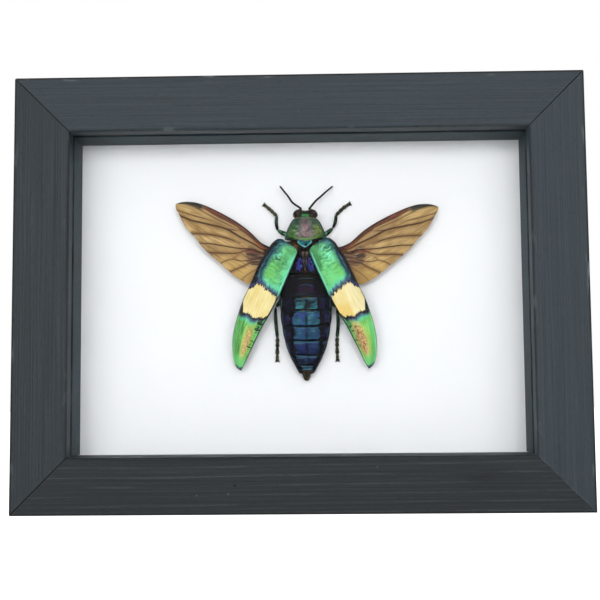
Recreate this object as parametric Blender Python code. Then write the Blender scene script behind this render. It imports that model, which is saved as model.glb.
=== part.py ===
"""Framed jewel beetle specimen.

A spread jewel beetle stands on its pin in front of white card, behind glass, in a small
shadow box frame of dark stained wood. The frame stands on its bottom rail: X runs to the
right, Z up, and the glass looks towards -Y. The origin is the middle of the bottom.

Lengths below are in millimetres. The mesh helpers turn them into metres.
"""

import math

import bmesh
import bpy
from mathutils import Vector

MM = 0.001

# Gaps kept between pieces
GAP = 0.3
FINE_GAP = 0.15

# Frame
FRAME_WIDTH = 152.4
FRAME_HEIGHT = 116.5
FRAME_DEPTH = 25.4
FACE_WIDTH = 14.9
LIP_THICKNESS = 4.5
RABBET_WIDTH = 3.2
OUTER_ROUNDING = 0.9
INNER_ROUNDING = 0.7
BACK_ROUNDING = 0.5
ROUNDING_STEPS = 3
MITRE_GAP = 0.2

# Sheets in the frame, as depths behind its front face
GLASS_THICKNESS = 1.8
CARD_FRONT = 17.2
CARD_THICKNESS = 2.0
BACK_THICKNESS = 3.0

# Fixings
POINT_LENGTH = 11.0
POINT_WIDTH = 7.0
POINT_THICKNESS = 0.5
POINT_IN_WOOD = 3.5
POINT_SPACING = 76.0
HANGER_LENGTH = 42.0
HANGER_HEIGHT = 7.0
HANGER_THICKNESS = 0.7
HANGER_RISE = 1.3
HANGER_TEETH = 9
HANGER_TOOTH_DEPTH = 1.4
NAIL_SHANK = 1.2
NAIL_HEAD = 2.6
NAIL_HEAD_THICKNESS = 0.6
NAIL_LENGTH = 8.0
NAIL_TAPER = 1.5
NAIL_TIP = 0.1

BOX_DEPTH = FRAME_DEPTH + FINE_GAP + HANGER_RISE + HANGER_THICKNESS
FRONT_Y = -BOX_DEPTH / 2
BACK_Y = FRONT_Y + FRAME_DEPTH
SIGHT_WIDTH = FRAME_WIDTH - 2 * FACE_WIDTH
SIGHT_HEIGHT = FRAME_HEIGHT - 2 * FACE_WIDTH
SHEET_WIDTH = SIGHT_WIDTH + 2 * (RABBET_WIDTH - GAP)
SHEET_HEIGHT = SIGHT_HEIGHT + 2 * (RABBET_WIDTH - GAP)
GLASS_FRONT = LIP_THICKNESS + GAP
SPACER_FRONT = GLASS_FRONT + GLASS_THICKNESS + GAP
SPACER_BACK = CARD_FRONT - GAP
BACK_FRONT = CARD_FRONT + CARD_THICKNESS + GAP
POINT_FRONT = BACK_FRONT + BACK_THICKNESS + GAP

# The beetle is modelled lying on its card: X to its right, Y to its head, Z up from the card.
# Its own origin is the foot of the pin.
BEETLE_X = 1.5
BEETLE_Z = FRAME_HEIGHT / 2 + 13.5

PIN_X = 0.15
PIN_RADIUS = 0.22
PIN_TOP = 8.0
PIN_IN_CARD = 1.3
PIN_HOLE_RADIUS = 0.36
PIN_TAPER = 0.7
PIN_TIP = 0.05
PIN_CHAMFER = 0.08

# Wing cases: distance from the shoulder along the case, inner edge, outer edge
ELYTRON_STATIONS = (
    (-0.75, 0.6, 1.5), (-0.5, -0.3, 2.1), (-0.15, -1.9, 2.45), (0.15, -3.0, 2.65), (0.6, -3.85, 2.95),
    (1.5, -4.25, 3.35), (3.0, -4.2, 3.7), (6.0, -4.05, 4.4), (9.0, -3.85, 4.8), (14.0, -3.5, 5.15),
    (19.5, -2.8, 5.6), (24.0, -1.9, 5.45), (28.5, -1.4, 4.9), (31.5, -1.05, 4.0), (33.8, -0.85, 3.05),
    (35.6, -0.6, 1.9), (36.4, -0.5, 1.0), (36.75, -0.45, 0.1),
)
ELYTRON_THICKNESS = 0.4
ELYTRON_INNER_HEIGHT = (7.6, 4.4)
ELYTRON_OUTER_HEIGHT = (6.4, 3.7)
ELYTRON_ARCH = (1.25, 0.7)
ELYTRON_END_REACH = 4.0
ELYTRON_COLUMNS = 8
ELYTRON_HINGE = {"left": (-5.8, 0.6), "right": (4.6, 0.8)}
ELYTRON_ANGLE = {"left": 19.9, "right": 20.2}

# Membrane wings: distance outward from the base, trailing edge, leading edge
HINDWING_STATIONS = (
    (-3.6, 0.4, 2.0), (-2.6, -4.3, 1.7), (-1.6, -7.7, 1.4), (-0.2, -9.8, 1.1), (1.3, -10.5, 0.95),
    (3.0, -10.75, 1.0), (5.0, -10.5, 1.6), (7.0, -10.1, 2.35), (9.5, -9.4, 3.05), (13.0, -8.3, 3.65),
    (17.0, -7.05, 4.0), (21.2, -5.05, 4.15), (24.2, -3.7, 3.9), (26.6, -2.05, 3.2), (28.4, -0.65, 2.3),
    (29.4, 0.25, 1.5), (29.75, 0.75, 1.1),
)
HINDWING_THICKNESS = 0.3
HINDWING_LEAD_HEIGHT = (5.0, 3.3)
HINDWING_TRAIL_HEIGHT = (3.9, 3.0)
HINDWING_PLEAT = 0.16
HINDWING_END_REACH = 6.0
HINDWING_COLUMNS = 8
HINDWING_BASE = {"left": (-9.55, -1.4), "right": (9.5, -1.5)}
HINDWING_ANGLE = {"left": 25.3, "right": 22.0}

# Body pieces: place along the body, half width, top height, side height, bottom height
PROTHORAX_STATIONS = (
    (7.75, 3.0, 5.9, 4.0, 2.2), (7.3, 3.5, 6.35, 4.0, 1.9), (6.2, 4.1, 6.9, 3.9, 1.75),
    (4.6, 4.85, 7.3, 3.8, 1.7), (3.2, 5.4, 7.4, 3.8, 1.7), (2.2, 5.75, 7.4, 3.8, 1.7),
    (1.4, 5.75, 7.3, 3.8, 1.8),
)
REAR_EDGE_START = 4.6
REAR_EDGE_SWEEP = 0.6
REAR_EDGE_HALF_WIDTH = 4.0
THORAX_STATIONS = (
    (1.2, 4.6, 6.2, 3.8, 1.8), (0.4, 5.2, 6.5, 3.8, 1.65), (-1.2, 5.5, 6.5, 3.8, 1.6),
    (-3.2, 5.7, 6.4, 3.8, 1.6), (-5.4, 6.3, 6.2, 3.8, 1.6), (-7.6, 6.6, 5.9, 3.7, 1.6),
)
THORAX_RINGS = (1.2, 0.75, 0.3, -0.3, -0.85, -1.1, -2.2, -3.6, -5.2, -6.6, -7.6)
SHIELD_FRONT = 0.75
SHIELD_LENGTH = 1.65
SHIELD_HALF_WIDTH = 2.1
SHIELD_RISE = 0.75
RIDGE_FRONT = -1.5
RIDGE_HALF_WIDTH = 0.4
RIDGE_RISE = 0.3
SOCKET_INWARD = 2.2
SOCKET_REARWARD = 1.0
SOCKET_RADIUS = 1.0
SOCKET_RISE = 1.3
ABDOMEN_STATIONS = (
    (-7.8, 6.6, 5.5, 3.7, 1.6), (-11.0, 6.9, 5.3, 3.6, 1.6), (-14.8, 7.1, 5.3, 3.6, 1.6),
    (-19.0, 6.95, 5.3, 3.6, 1.6), (-23.0, 6.45, 5.2, 3.5, 1.6), (-26.5, 5.75, 5.0, 3.3, 1.6),
    (-29.5, 4.8, 4.7, 3.1, 1.5), (-32.3, 3.5, 4.3, 2.8, 1.4), (-34.4, 2.2, 3.9, 2.6, 1.5),
    (-35.5, 1.35, 3.6, 2.5, 1.7), (-36.5, 0.75, 3.2, 2.4, 1.9), (-37.0, 0.25, 2.8, 2.4, 2.1),
)
TERGITE_EDGES = (-9.0, -14.2, -17.8, -22.2, -26.1, -30.0, -32.7)
TERGITE_STEP = 0.22
TERGITE_LIP = 0.25
HEAD_STATIONS = (
    (7.92, 2.6, 5.6, 4.3, 2.5), (8.7, 2.6, 5.7, 4.3, 2.3), (9.3, 2.2, 5.4, 4.3, 2.4),
    (9.7, 1.6, 5.0, 4.2, 2.7), (9.9, 0.9, 4.7, 4.1, 3.1),
)
EYE_PLACE = (2.1, 9.03, 4.4)
EYE_RADII = (1.2, 1.1, 1.5)
EYE_SIDES = 14
EYE_ROWS = 9

# Legs and feelers: x, y and z of each joint and swelling, from the body to the tip
FORELEG_PATHS = {
    "left": (
        (-1.6, 3.2, 1.2), (-5.4, 3.85, 0.95), (-7.8, 4.95, 1.0), (-8.15, 6.9, 1.0), (-8.05, 9.0, 0.9),
        (-8.8, 9.8, 0.8), (-9.7, 10.7, 0.7), (-10.5, 11.4, 0.65), (-11.2, 12.0, 0.6), (-11.6, 12.3, 0.5),
    ),
    "right": (
        (1.6, 2.6, 1.2), (5.2, 3.6, 0.95), (7.6, 5.4, 1.0), (8.3, 7.2, 1.0), (8.5, 9.0, 0.9),
        (9.3, 9.9, 0.8), (10.2, 10.8, 0.7), (11.2, 11.6, 0.65), (12.0, 12.1, 0.6), (12.4, 12.3, 0.5),
    ),
}
MIDLEG_PATHS = {
    "left": (
        (-1.6, -1.8, 1.1), (-5.6, -4.0, 0.95), (-8.6, -5.2, 1.0), (-9.6, -7.6, 0.95), (-9.9, -10.4, 0.85),
        (-9.8, -11.4, 0.75), (-9.6, -12.4, 0.7), (-9.5, -13.4, 0.65), (-9.5, -14.2, 0.6), (-9.5, -14.6, 0.5),
    ),
    "right": (
        (1.6, -1.8, 1.1), (5.6, -4.0, 0.95), (8.6, -5.2, 1.0), (9.6, -7.6, 0.95), (9.9, -10.4, 0.85),
        (9.8, -11.4, 0.75), (9.6, -12.4, 0.7), (9.5, -13.4, 0.65), (9.5, -14.2, 0.6), (9.5, -14.6, 0.5),
    ),
}
HINDLEG_PATHS = {
    "left": (
        (-1.7, -6.9, 1.1), (-5.6, -13.0, 0.95), (-8.5, -16.6, 1.0), (-8.5, -20.4, 1.0), (-8.05, -25.1, 0.9),
        (-8.1, -26.2, 0.7), (-8.1, -27.6, 0.7), (-8.15, -29.6, 0.65), (-8.15, -30.8, 0.6), (-8.15, -31.4, 0.5),
    ),
    "right": (
        (1.7, -6.9, 1.1), (5.6, -13.2, 0.95), (8.5, -17.0, 1.0), (8.75, -21.0, 1.0), (8.45, -25.1, 0.9),
        (8.4, -26.2, 0.7), (8.4, -27.6, 0.7), (8.45, -29.6, 0.65), (8.5, -30.8, 0.6), (8.5, -31.4, 0.5),
    ),
}
SHORT_LEG_RADII = (0.5, 0.6, 0.42, 0.3, 0.36, 0.3, 0.42, 0.42, 0.3, 0.5)
LONG_LEG_RADII = (0.5, 0.65, 0.5, 0.4, 0.44, 0.26, 0.5, 0.5, 0.34, 0.5)
LEG_FLATNESS = 0.75
ANTENNA_PATHS = {
    "left": (
        (-1.1, 10.2, 3.9), (-1.6, 10.85, 3.7), (-2.9, 11.8, 3.3), (-3.75, 12.6, 3.0), (-4.3, 13.5, 2.8),
        (-5.1, 14.7, 2.5), (-5.9, 15.7, 2.2), (-7.0, 17.2, 1.9),
    ),
    "right": (
        (1.0, 10.2, 3.9), (1.5, 10.95, 3.7), (2.2, 11.9, 3.3), (3.1, 13.0, 3.0), (4.1, 13.85, 2.8),
        (5.2, 14.9, 2.5), (6.3, 15.9, 2.2), (7.6, 17.0, 1.9),
    ),
}
ANTENNA_RADII = (0.26, 0.22, 0.19, 0.2, 0.19, 0.19, 0.18, 0.14)
LIMB_SIDES = 6

# Colour, roughness and metallic value of each material
FINISHES = {
    "stained_wood": ((0.045, 0.052, 0.056), 0.6, 0.0),
    "clear_glass": ((0.9, 0.95, 0.95), 0.05, 0.0),
    "dark_strip": ((0.035, 0.04, 0.043), 0.75, 0.0),
    "white_card": ((0.85, 0.87, 0.89), 0.9, 0.0),
    "brown_board": ((0.22, 0.13, 0.07), 0.85, 0.0),
    "zinc_steel": ((0.55, 0.55, 0.53), 0.4, 1.0),
    "black_pin": ((0.02, 0.02, 0.02), 0.3, 0.5),
    "dark_shell": ((0.02, 0.045, 0.07), 0.3, 0.3),
    "green_shell": ((0.06, 0.45, 0.18), 0.28, 0.4),
    "rosy_shell": ((0.2, 0.24, 0.14), 0.32, 0.3),
    "wing_membrane": ((0.4, 0.25, 0.1), 0.4, 0.0),
    "leg_shell": ((0.015, 0.03, 0.025), 0.3, 0.2),
}


def clear_scene():
    """Remove every object, so that the script can be run again in the same file."""
    for item in list(bpy.data.objects):
        bpy.data.objects.remove(item, do_unlink=True)


def finish_material(name):
    """Return the named material, made on its first use."""
    material = bpy.data.materials.get(name)
    if material is None:
        color, roughness, metallic = FINISHES[name]
        material = bpy.data.materials.new(name)
        material.use_nodes = True
        shader = material.node_tree.nodes["Principled BSDF"]
        shader.inputs["Base Color"].default_value = (*color, 1.0)
        shader.inputs["Roughness"].default_value = roughness
        shader.inputs["Metallic"].default_value = metallic
        if name == "clear_glass":
            shader.inputs["Transmission Weight"].default_value = 1.0
    return material


def add_object(name, points, faces, finish, parent=None, place=(0, 0, 0), turn=(0, 0, 0), crease=35):
    """Make one closed mesh object from points in millimetres."""
    mesh = bpy.data.meshes.new(name)
    mesh.from_pydata([Vector(point) * MM for point in points], [], faces)
    work = bmesh.new()
    work.from_mesh(mesh)
    bmesh.ops.recalc_face_normals(work, faces=work.faces)
    work.to_mesh(mesh)
    work.free()
    if crease:
        mesh.shade_smooth()
        mesh.set_sharp_from_angle(angle=math.radians(crease))
    item = bpy.data.objects.new(name, mesh)
    bpy.context.scene.collection.objects.link(item)
    item.location = Vector(place) * MM
    item.rotation_euler = [math.radians(angle) for angle in turn]
    item.parent = parent
    if finish:
        mesh.materials.append(finish_material(finish))
    return item


def add_cutter(target, name, points, faces, **placing):
    """Cut a closed shape out of the target with a Boolean modifier."""
    cutter = add_object(name, points, faces, None, crease=0, **placing)
    cutter.hide_render = True
    cutter.display_type = "WIRE"
    cut = target.modifiers.new(name, "BOOLEAN")
    cut.operation = "DIFFERENCE"
    cut.solver = "EXACT"
    cut.object = cutter


def loft(rings):
    """Join rings of equal length into a closed skin with flat ends."""
    count = len(rings[0])
    points = [point for ring in rings for point in ring]
    faces = [tuple(range(count)), tuple(range(len(points) - count, len(points)))]
    for row in range(len(rings) - 1):
        for column in range(count):
            after = (column + 1) % count
            low = row * count
            high = low + count
            faces.append((low + column, low + after, high + after, high + column))
    return points, faces


def box(low, high):
    """Points and faces of a box between two corners."""
    ring = ((low[0], low[1]), (high[0], low[1]), (high[0], high[1]), (low[0], high[1]))
    return loft([[(x, y, z) for x, y in ring] for z in (low[2], high[2])])


def turned(profile, sides=10):
    """Points and faces of a shape turned about Z, from its (radius, height) pairs."""
    angles = [2 * math.pi * side / sides for side in range(sides)]
    return loft([[(r * math.cos(a), r * math.sin(a), z) for a in angles] for r, z in profile])


def rod(radius, low, high):
    """Points and faces of a round rod along Z."""
    return turned(((radius, low), (radius, high)))


def smooth_column(places, values, place):
    """Value at a place on a smooth curve that never overshoots its points."""
    steps = [(values[i + 1] - values[i]) / (places[i + 1] - places[i]) for i in range(len(places) - 1)]
    slopes = [steps[0]]
    for before, after in zip(steps, steps[1:]):
        slopes.append(0.0 if before * after <= 0 else 2 * before * after / (before + after))
    slopes.append(steps[-1])
    i = 0
    while i < len(steps) - 1 and place > places[i + 1]:
        i += 1
    span = places[i + 1] - places[i]
    t = (place - places[i]) / span
    first = (1 + 2 * t) * (1 - t) ** 2 * values[i] + t * (1 - t) ** 2 * span * slopes[i]
    second = t * t * (3 - 2 * t) * values[i + 1] + t * t * (t - 1) * span * slopes[i + 1]
    return first + second


def smooth_row(stations, place):
    """All columns of a station table at one place along it."""
    ordered = sorted(stations)
    columns = list(zip(*ordered))
    return [smooth_column(columns[0], column, place) for column in columns[1:]]


def halved_places(stations):
    """The stations' own places, and the middle of each stretch between them."""
    places = [row[0] for row in stations]
    middles = [(start + end) / 2 for start, end in zip(places, places[1:])]
    return sorted(places + middles)


def blend(pair, share):
    """Straight blend between two values."""
    return pair[0] + (pair[1] - pair[0]) * share


def arc(center, radius, start, end):
    """Points of a rounded corner, from one angle to another in degrees."""
    angles = [math.radians(blend((start, end), step / ROUNDING_STEPS)) for step in range(ROUNDING_STEPS + 1)]
    return [(center[0] + radius * math.cos(a), center[1] + radius * math.sin(a)) for a in angles]


def rail_profile():
    """Section of the moulding as (distance in from the outer edge, depth behind the front)."""
    outer, inner, back = OUTER_ROUNDING, INNER_ROUNDING, BACK_ROUNDING
    profile = arc((outer, outer), outer, 180, 270)
    profile += arc((FACE_WIDTH - inner, inner), inner, 270, 360)
    profile += [(FACE_WIDTH, LIP_THICKNESS), (FACE_WIDTH - RABBET_WIDTH, LIP_THICKNESS)]
    profile += [(FACE_WIDTH - RABBET_WIDTH, FRAME_DEPTH)]
    profile += arc((back, FRAME_DEPTH - back), back, 90, 180)
    return profile


def build_rail(name, side):
    """One mitred rail of the frame."""
    mitre = MITRE_GAP / math.sqrt(2)
    rings = []
    for end in (-1, 1):
        ring = []
        for inward, depth in rail_profile():
            y = FRONT_Y + depth
            if side in ("top", "bottom"):
                z = FRAME_HEIGHT - inward if side == "top" else inward
                ring.append((end * (FRAME_WIDTH / 2 - inward - mitre), y, z))
            else:
                x = (FRAME_WIDTH / 2 - inward) * (1 if side == "right" else -1)
                ring.append((x, y, FRAME_HEIGHT / 2 + end * (FRAME_HEIGHT / 2 - inward - mitre)))
        rings.append(ring)
    return add_object(name, *loft(rings), "stained_wood")


def build_sheet(name, width, height, front, thickness, finish):
    """A flat sheet centred in the frame, given by the depth of its front."""
    middle = FRAME_HEIGHT / 2
    low = (-width / 2, FRONT_Y + front, middle - height / 2)
    high = (width / 2, FRONT_Y + front + thickness, middle + height / 2)
    return add_object(name, *box(low, high), finish, crease=0)


def build_spacers():
    """Four strips that hold the card away from the glass, flush with the sight edge."""
    wide, tall = SHEET_WIDTH / 2, SHEET_HEIGHT / 2
    middle = FRAME_HEIGHT / 2
    front, back = FRONT_Y + SPACER_FRONT, FRONT_Y + SPACER_BACK
    for name, sign in (("spacer_bottom", -1), ("spacer_top", 1)):
        edges = sorted((middle + sign * SIGHT_HEIGHT / 2, middle + sign * tall))
        add_object(name, *box((-wide, front, edges[0]), (wide, back, edges[1])), "dark_strip", crease=0)
    reach = SIGHT_HEIGHT / 2 - FINE_GAP
    for name, sign in (("spacer_left", -1), ("spacer_right", 1)):
        edges = sorted((sign * SIGHT_WIDTH / 2, sign * wide))
        corners = (edges[0], front, middle - reach), (edges[1], back, middle + reach)
        add_object(name, *box(*corners), "dark_strip", crease=0)


def point_places():
    """Rail name, place and turn of each framer's point."""
    inner_x = SIGHT_WIDTH / 2 + RABBET_WIDTH
    inner_z = SIGHT_HEIGHT / 2 + RABBET_WIDTH
    middle = FRAME_HEIGHT / 2
    half = POINT_SPACING / 2
    return (
        ("top", (-half, middle + inner_z), 180), ("top", (half, middle + inner_z), 180),
        ("bottom", (-half, middle - inner_z), 0), ("bottom", (half, middle - inner_z), 0),
        ("left", (-inner_x, middle), -90), ("right", (inner_x, middle), 90),
    )


def build_points(rails):
    """Flat framer's points driven into the rails over the back board, each in its slot."""
    front, back = POINT_FRONT, POINT_FRONT + POINT_THICKNESS
    half = POINT_WIDTH / 2
    buried = POINT_IN_WOOD
    shown = POINT_LENGTH - buried
    outline = ((-half, 0), (-half * 0.3, -buried), (half * 0.3, -buried), (half, 0),
               (half, shown * 0.6), (half * 0.35, shown), (-half * 0.35, shown), (-half, shown * 0.6))
    slot = ((-half - GAP, GAP), (-half - GAP, -buried - GAP), (half + GAP, -buried - GAP), (half + GAP, GAP))
    tab = loft([[(x, depth, z) for x, z in outline] for depth in (front, back)])
    cut = loft([[(x, depth, z) for x, z in slot] for depth in (front - GAP, back + GAP)])
    for number, (side, (x, z), turn) in enumerate(point_places(), start=1):
        placing = {"place": (x, FRONT_Y, z), "turn": (0, -turn, 0)}
        add_object(f"framers_point_{number}", *tab, "zinc_steel", crease=0, **placing)
        add_cutter(rails[side], f"point_slot_{number}", *cut, **placing)


def hanger_height():
    """Middle height of the hanger on the back of the top rail."""
    return FRAME_HEIGHT - (FACE_WIDTH - RABBET_WIDTH) / 2


def build_hanger(rail):
    """Toothed hanger on the back of the top rail, held by two nails."""
    half = HANGER_LENGTH / 2
    foot = 6.0
    ramp = 2.0
    top = HANGER_HEIGHT / 2
    stations = [(-half, 0, 0), (-half + foot, 0, 0)]
    bridge = half - foot - ramp
    for tooth in range(2 * HANGER_TEETH + 1):
        x = blend((-bridge, bridge), tooth / (2 * HANGER_TEETH))
        stations.append((x, HANGER_RISE, HANGER_TOOTH_DEPTH if tooth % 2 else 0))
    stations += [(half - foot, 0, 0), (half, 0, 0)]
    rings = []
    for x, rise, notch in stations:
        near, far = FINE_GAP + rise, FINE_GAP + rise + HANGER_THICKNESS
        rings.append([(x, near, notch - top), (x, far, notch - top), (x, far, top), (x, near, top)])
    place = (0, BACK_Y, hanger_height())
    plate = add_object("hanger", *loft(rings), "zinc_steel", place=place, crease=0)
    head_low = FINE_GAP + HANGER_THICKNESS + FINE_GAP
    head_high = head_low + NAIL_HEAD_THICKNESS
    for name, sign in (("nail_left", -1), ("nail_right", 1)):
        # Turned by 90 degrees about X, a rod's own +Z points into the wood
        placing = {"place": (sign * (half - foot / 2), BACK_Y, hanger_height()), "turn": (90, 0, 0)}
        add_cutter(plate, f"{name}_eye", *rod(NAIL_SHANK / 2 + FINE_GAP, -head_low - 1, 1), **placing)
        add_cutter(rail, f"{name}_bore", *rod(NAIL_SHANK / 2 + FINE_GAP, -1, NAIL_LENGTH + GAP), **placing)
        profile = (
            (NAIL_TIP, NAIL_LENGTH), (NAIL_SHANK / 2, NAIL_LENGTH - NAIL_TAPER), (NAIL_SHANK / 2, -head_low),
            (NAIL_HEAD / 2, -head_low), (NAIL_HEAD / 2, -head_high),
        )
        add_object(name, *turned(profile), "zinc_steel", **placing)


def build_frame():
    """The wooden frame with its glass, card, spacers, back board and fixings."""
    rails = {side: build_rail(f"rail_{side}", side) for side in ("top", "bottom", "left", "right")}
    build_sheet("glass", SHEET_WIDTH, SHEET_HEIGHT, GLASS_FRONT, GLASS_THICKNESS, "clear_glass")
    card = build_sheet("mount_card", SHEET_WIDTH, SHEET_HEIGHT, CARD_FRONT, CARD_THICKNESS, "white_card")
    build_sheet("back_board", SHEET_WIDTH, SHEET_HEIGHT, BACK_FRONT, BACK_THICKNESS, "brown_board")
    build_spacers()
    build_points(rails)
    build_hanger(rails["top"])
    return card


def body_ring(place, half_width, top, side, bottom, across=20, power=2.3):
    """Oval section of the body, with the same share of points above and below its side."""
    ring = []
    for step in range(across):
        angle = 2 * math.pi * step / across
        x = math.copysign(abs(math.cos(angle)) ** (2 / power), math.cos(angle)) * half_width
        lift = math.copysign(abs(math.sin(angle)) ** (2 / power), math.sin(angle))
        z = side + lift * ((top - side) if lift > 0 else (side - bottom))
        ring.append((x, place, z))
    return ring


def build_prothorax(beetle):
    """The shield behind the head. Its rear edge is drawn back in the middle."""
    rings = []
    for place in halved_places(PROTHORAX_STATIONS):
        row = smooth_row(PROTHORAX_STATIONS, place)
        rearward = max(0.0, (REAR_EDGE_START - place) / (REAR_EDGE_START - PROTHORAX_STATIONS[-1][0])) ** 2
        ring = []
        for x, y, z in body_ring(place, *row, across=22):
            sideward = min(1.0, abs(x) / REAR_EDGE_HALF_WIDTH) ** 1.5
            ring.append((x, y + REAR_EDGE_SWEEP * rearward * sideward, z))
        rings.append(ring)
    add_object("prothorax", *loft(rings), "rosy_shell", beetle)


def thorax_relief(x, y):
    """Height added to the back of the thorax: the small shield, the ridge and the wing sockets."""
    behind = (SHIELD_FRONT - y) / SHIELD_LENGTH
    shield_half = SHIELD_HALF_WIDTH * (1 - max(0.0, behind) ** 2)
    shield = SHIELD_RISE if abs(x) < shield_half else 0.0
    ridge = RIDGE_RISE * math.exp(-(x / RIDGE_HALF_WIDTH) ** 2) if y < RIDGE_FRONT else 0.0
    socket = 0.0
    for outward, side in ((-1, "left"), (1, "right")):
        hinge_x, hinge_y = ELYTRON_HINGE[side]
        away = math.hypot(x - hinge_x + outward * SOCKET_INWARD, y - hinge_y + SOCKET_REARWARD)
        socket = max(socket, SOCKET_RISE * math.exp(-(away / SOCKET_RADIUS) ** 2))
    return max(shield, ridge, socket)


def build_thorax(beetle):
    """The body between the shield and the abdomen, pierced by the pin."""
    rings = []
    for place in THORAX_RINGS:
        row = smooth_row(THORAX_STATIONS, place)
        ring = []
        for x, y, z in body_ring(place, *row, across=24):
            ring.append((x, y, z + (thorax_relief(x, y) if z > row[2] + 1 else 0.0)))
        rings.append(ring)
    thorax = add_object("thorax", *loft(rings), "dark_shell", beetle)
    add_cutter(thorax, "pin_bore", *rod(PIN_HOLE_RADIUS, 0, PIN_TOP + 1), parent=beetle, place=(PIN_X, 0, 0))


def build_abdomen(beetle):
    """The hind body, with the back plates overlapping like tiles."""
    places = {row[0] for row in ABDOMEN_STATIONS}
    for edge in TERGITE_EDGES:
        places = {place for place in places if abs(place - edge) > 3 * TERGITE_LIP}
        places |= {edge, edge - TERGITE_LIP}
    rings = []
    for place in sorted(places, reverse=True):
        row = smooth_row(ABDOMEN_STATIONS, place)
        ahead = [edge for edge in TERGITE_EDGES if edge > place] or [ABDOMEN_STATIONS[0][0]]
        behind = [edge for edge in TERGITE_EDGES if edge <= place] or [ABDOMEN_STATIONS[-1][0]]
        share = (ahead[-1] - place) / (ahead[-1] - behind[0])
        rise = TERGITE_STEP * share
        ring = []
        for x, y, z in body_ring(place, *row):
            ring.append((x, y, z + rise if z > row[2] + 0.5 else z))
        rings.append(ring)
    add_object("abdomen", *loft(rings), "dark_shell", beetle)


def build_head(beetle):
    """The head capsule with both eyes grown into it."""
    rings = [body_ring(*station, across=16) for station in HEAD_STATIONS]
    head = add_object("head", *loft(rings), "green_shell", beetle)
    for name, sign in (("eye_left_shape", -1), ("eye_right_shape", 1)):
        work = bmesh.new()
        bmesh.ops.create_uvsphere(work, u_segments=EYE_SIDES, v_segments=EYE_ROWS, radius=1.0)
        points = [(v.co.x * EYE_RADII[0], v.co.y * EYE_RADII[1], v.co.z * EYE_RADII[2]) for v in work.verts]
        faces = [tuple(v.index for v in face.verts) for face in work.faces]
        work.free()
        place = (sign * EYE_PLACE[0], EYE_PLACE[1], EYE_PLACE[2])
        eye = add_object(name, points, faces, None, beetle, place=place)
        eye.hide_render = True
        eye.display_type = "WIRE"
        join = head.modifiers.new(name, "BOOLEAN")
        join.operation = "UNION"
        join.solver = "EXACT"
        join.object = eye


def shell_from_grid(rows, thickness):
    """Closed thin shell: the grid's points above, the same points lowered by the thickness below."""
    tall, wide = len(rows), len(rows[0])
    points = [point for row in rows for point in row]
    points += [(x, y, z - thickness) for x, y, z in points]
    lower = tall * wide
    faces = []
    for i in range(tall - 1):
        for j in range(wide - 1):
            corner = i * wide + j
            quad = (corner, corner + 1, corner + wide + 1, corner + wide)
            faces.append(quad)
            faces.append(tuple(index + lower for index in reversed(quad)))
    rim = list(range(wide))
    rim += [i * wide + wide - 1 for i in range(1, tall)]
    rim += [(tall - 1) * wide + j for j in range(wide - 2, -1, -1)]
    rim += [i * wide for i in range(tall - 2, 0, -1)]
    for first, second in zip(rim, rim[1:] + rim[:1]):
        faces.append((first, second, second + lower, first + lower))
    return points, faces


def rise_from_ends(place, start, end, reach):
    """0 at either end of a stretch and 1 further in than the reach, along a quarter circle."""
    inside = max(0.0, min(1.0, min(place - start, end - place) / reach))
    return math.sqrt(1 - (1 - inside) ** 2)


def build_elytron(beetle, side):
    """One hard wing case: a long arched shell, raised and turned out at the shoulder."""
    outward = 1 if side == "right" else -1
    start, end = ELYTRON_STATIONS[0][0], ELYTRON_STATIONS[-1][0]
    grid = []
    for place in halved_places(ELYTRON_STATIONS):
        inner, outer = smooth_row(ELYTRON_STATIONS, place)
        share = (place - start) / (end - start)
        fullness = blend((0.25, 1.0), rise_from_ends(place, start, end, ELYTRON_END_REACH))
        arch = blend(ELYTRON_ARCH, share) * fullness
        row = []
        for step in range(ELYTRON_COLUMNS + 1):
            t = step / ELYTRON_COLUMNS
            height = blend((blend(ELYTRON_INNER_HEIGHT, share), blend(ELYTRON_OUTER_HEIGHT, share)), t)
            height += arch * math.sin(math.pi * t) ** 0.8
            row.append((outward * blend((inner, outer), t), -place, height))
        grid.append(row)
    x, y = ELYTRON_HINGE[side]
    add_object(f"elytron_{side}", *shell_from_grid(grid, ELYTRON_THICKNESS), "green_shell", beetle,
               place=(x, y, 0), turn=(0, 0, outward * ELYTRON_ANGLE[side]))


def build_hindwing(beetle, side):
    """One membrane wing, pleated along its length and spread from under the wing case."""
    outward = 1 if side == "right" else -1
    start, end = HINDWING_STATIONS[0][0], HINDWING_STATIONS[-1][0]
    grid = []
    for place, trail, lead in HINDWING_STATIONS:
        share = (place - start) / (end - start)
        pleat_height = HINDWING_PLEAT * rise_from_ends(place, start, end, HINDWING_END_REACH)
        row = []
        for step in range(HINDWING_COLUMNS + 1):
            t = step / HINDWING_COLUMNS
            height = blend((blend(HINDWING_TRAIL_HEIGHT, share), blend(HINDWING_LEAD_HEIGHT, share)), t)
            pleat = pleat_height * (1 if step % 2 == 0 else -1)
            row.append((outward * place, blend((trail, lead), t), height + pleat))
        grid.append(row)
    x, y = HINDWING_BASE[side]
    add_object(f"hindwing_{side}", *shell_from_grid(grid, HINDWING_THICKNESS), "wing_membrane", beetle,
               place=(x, y, 0), turn=(0, 0, outward * HINDWING_ANGLE[side]), crease=0)


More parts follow.
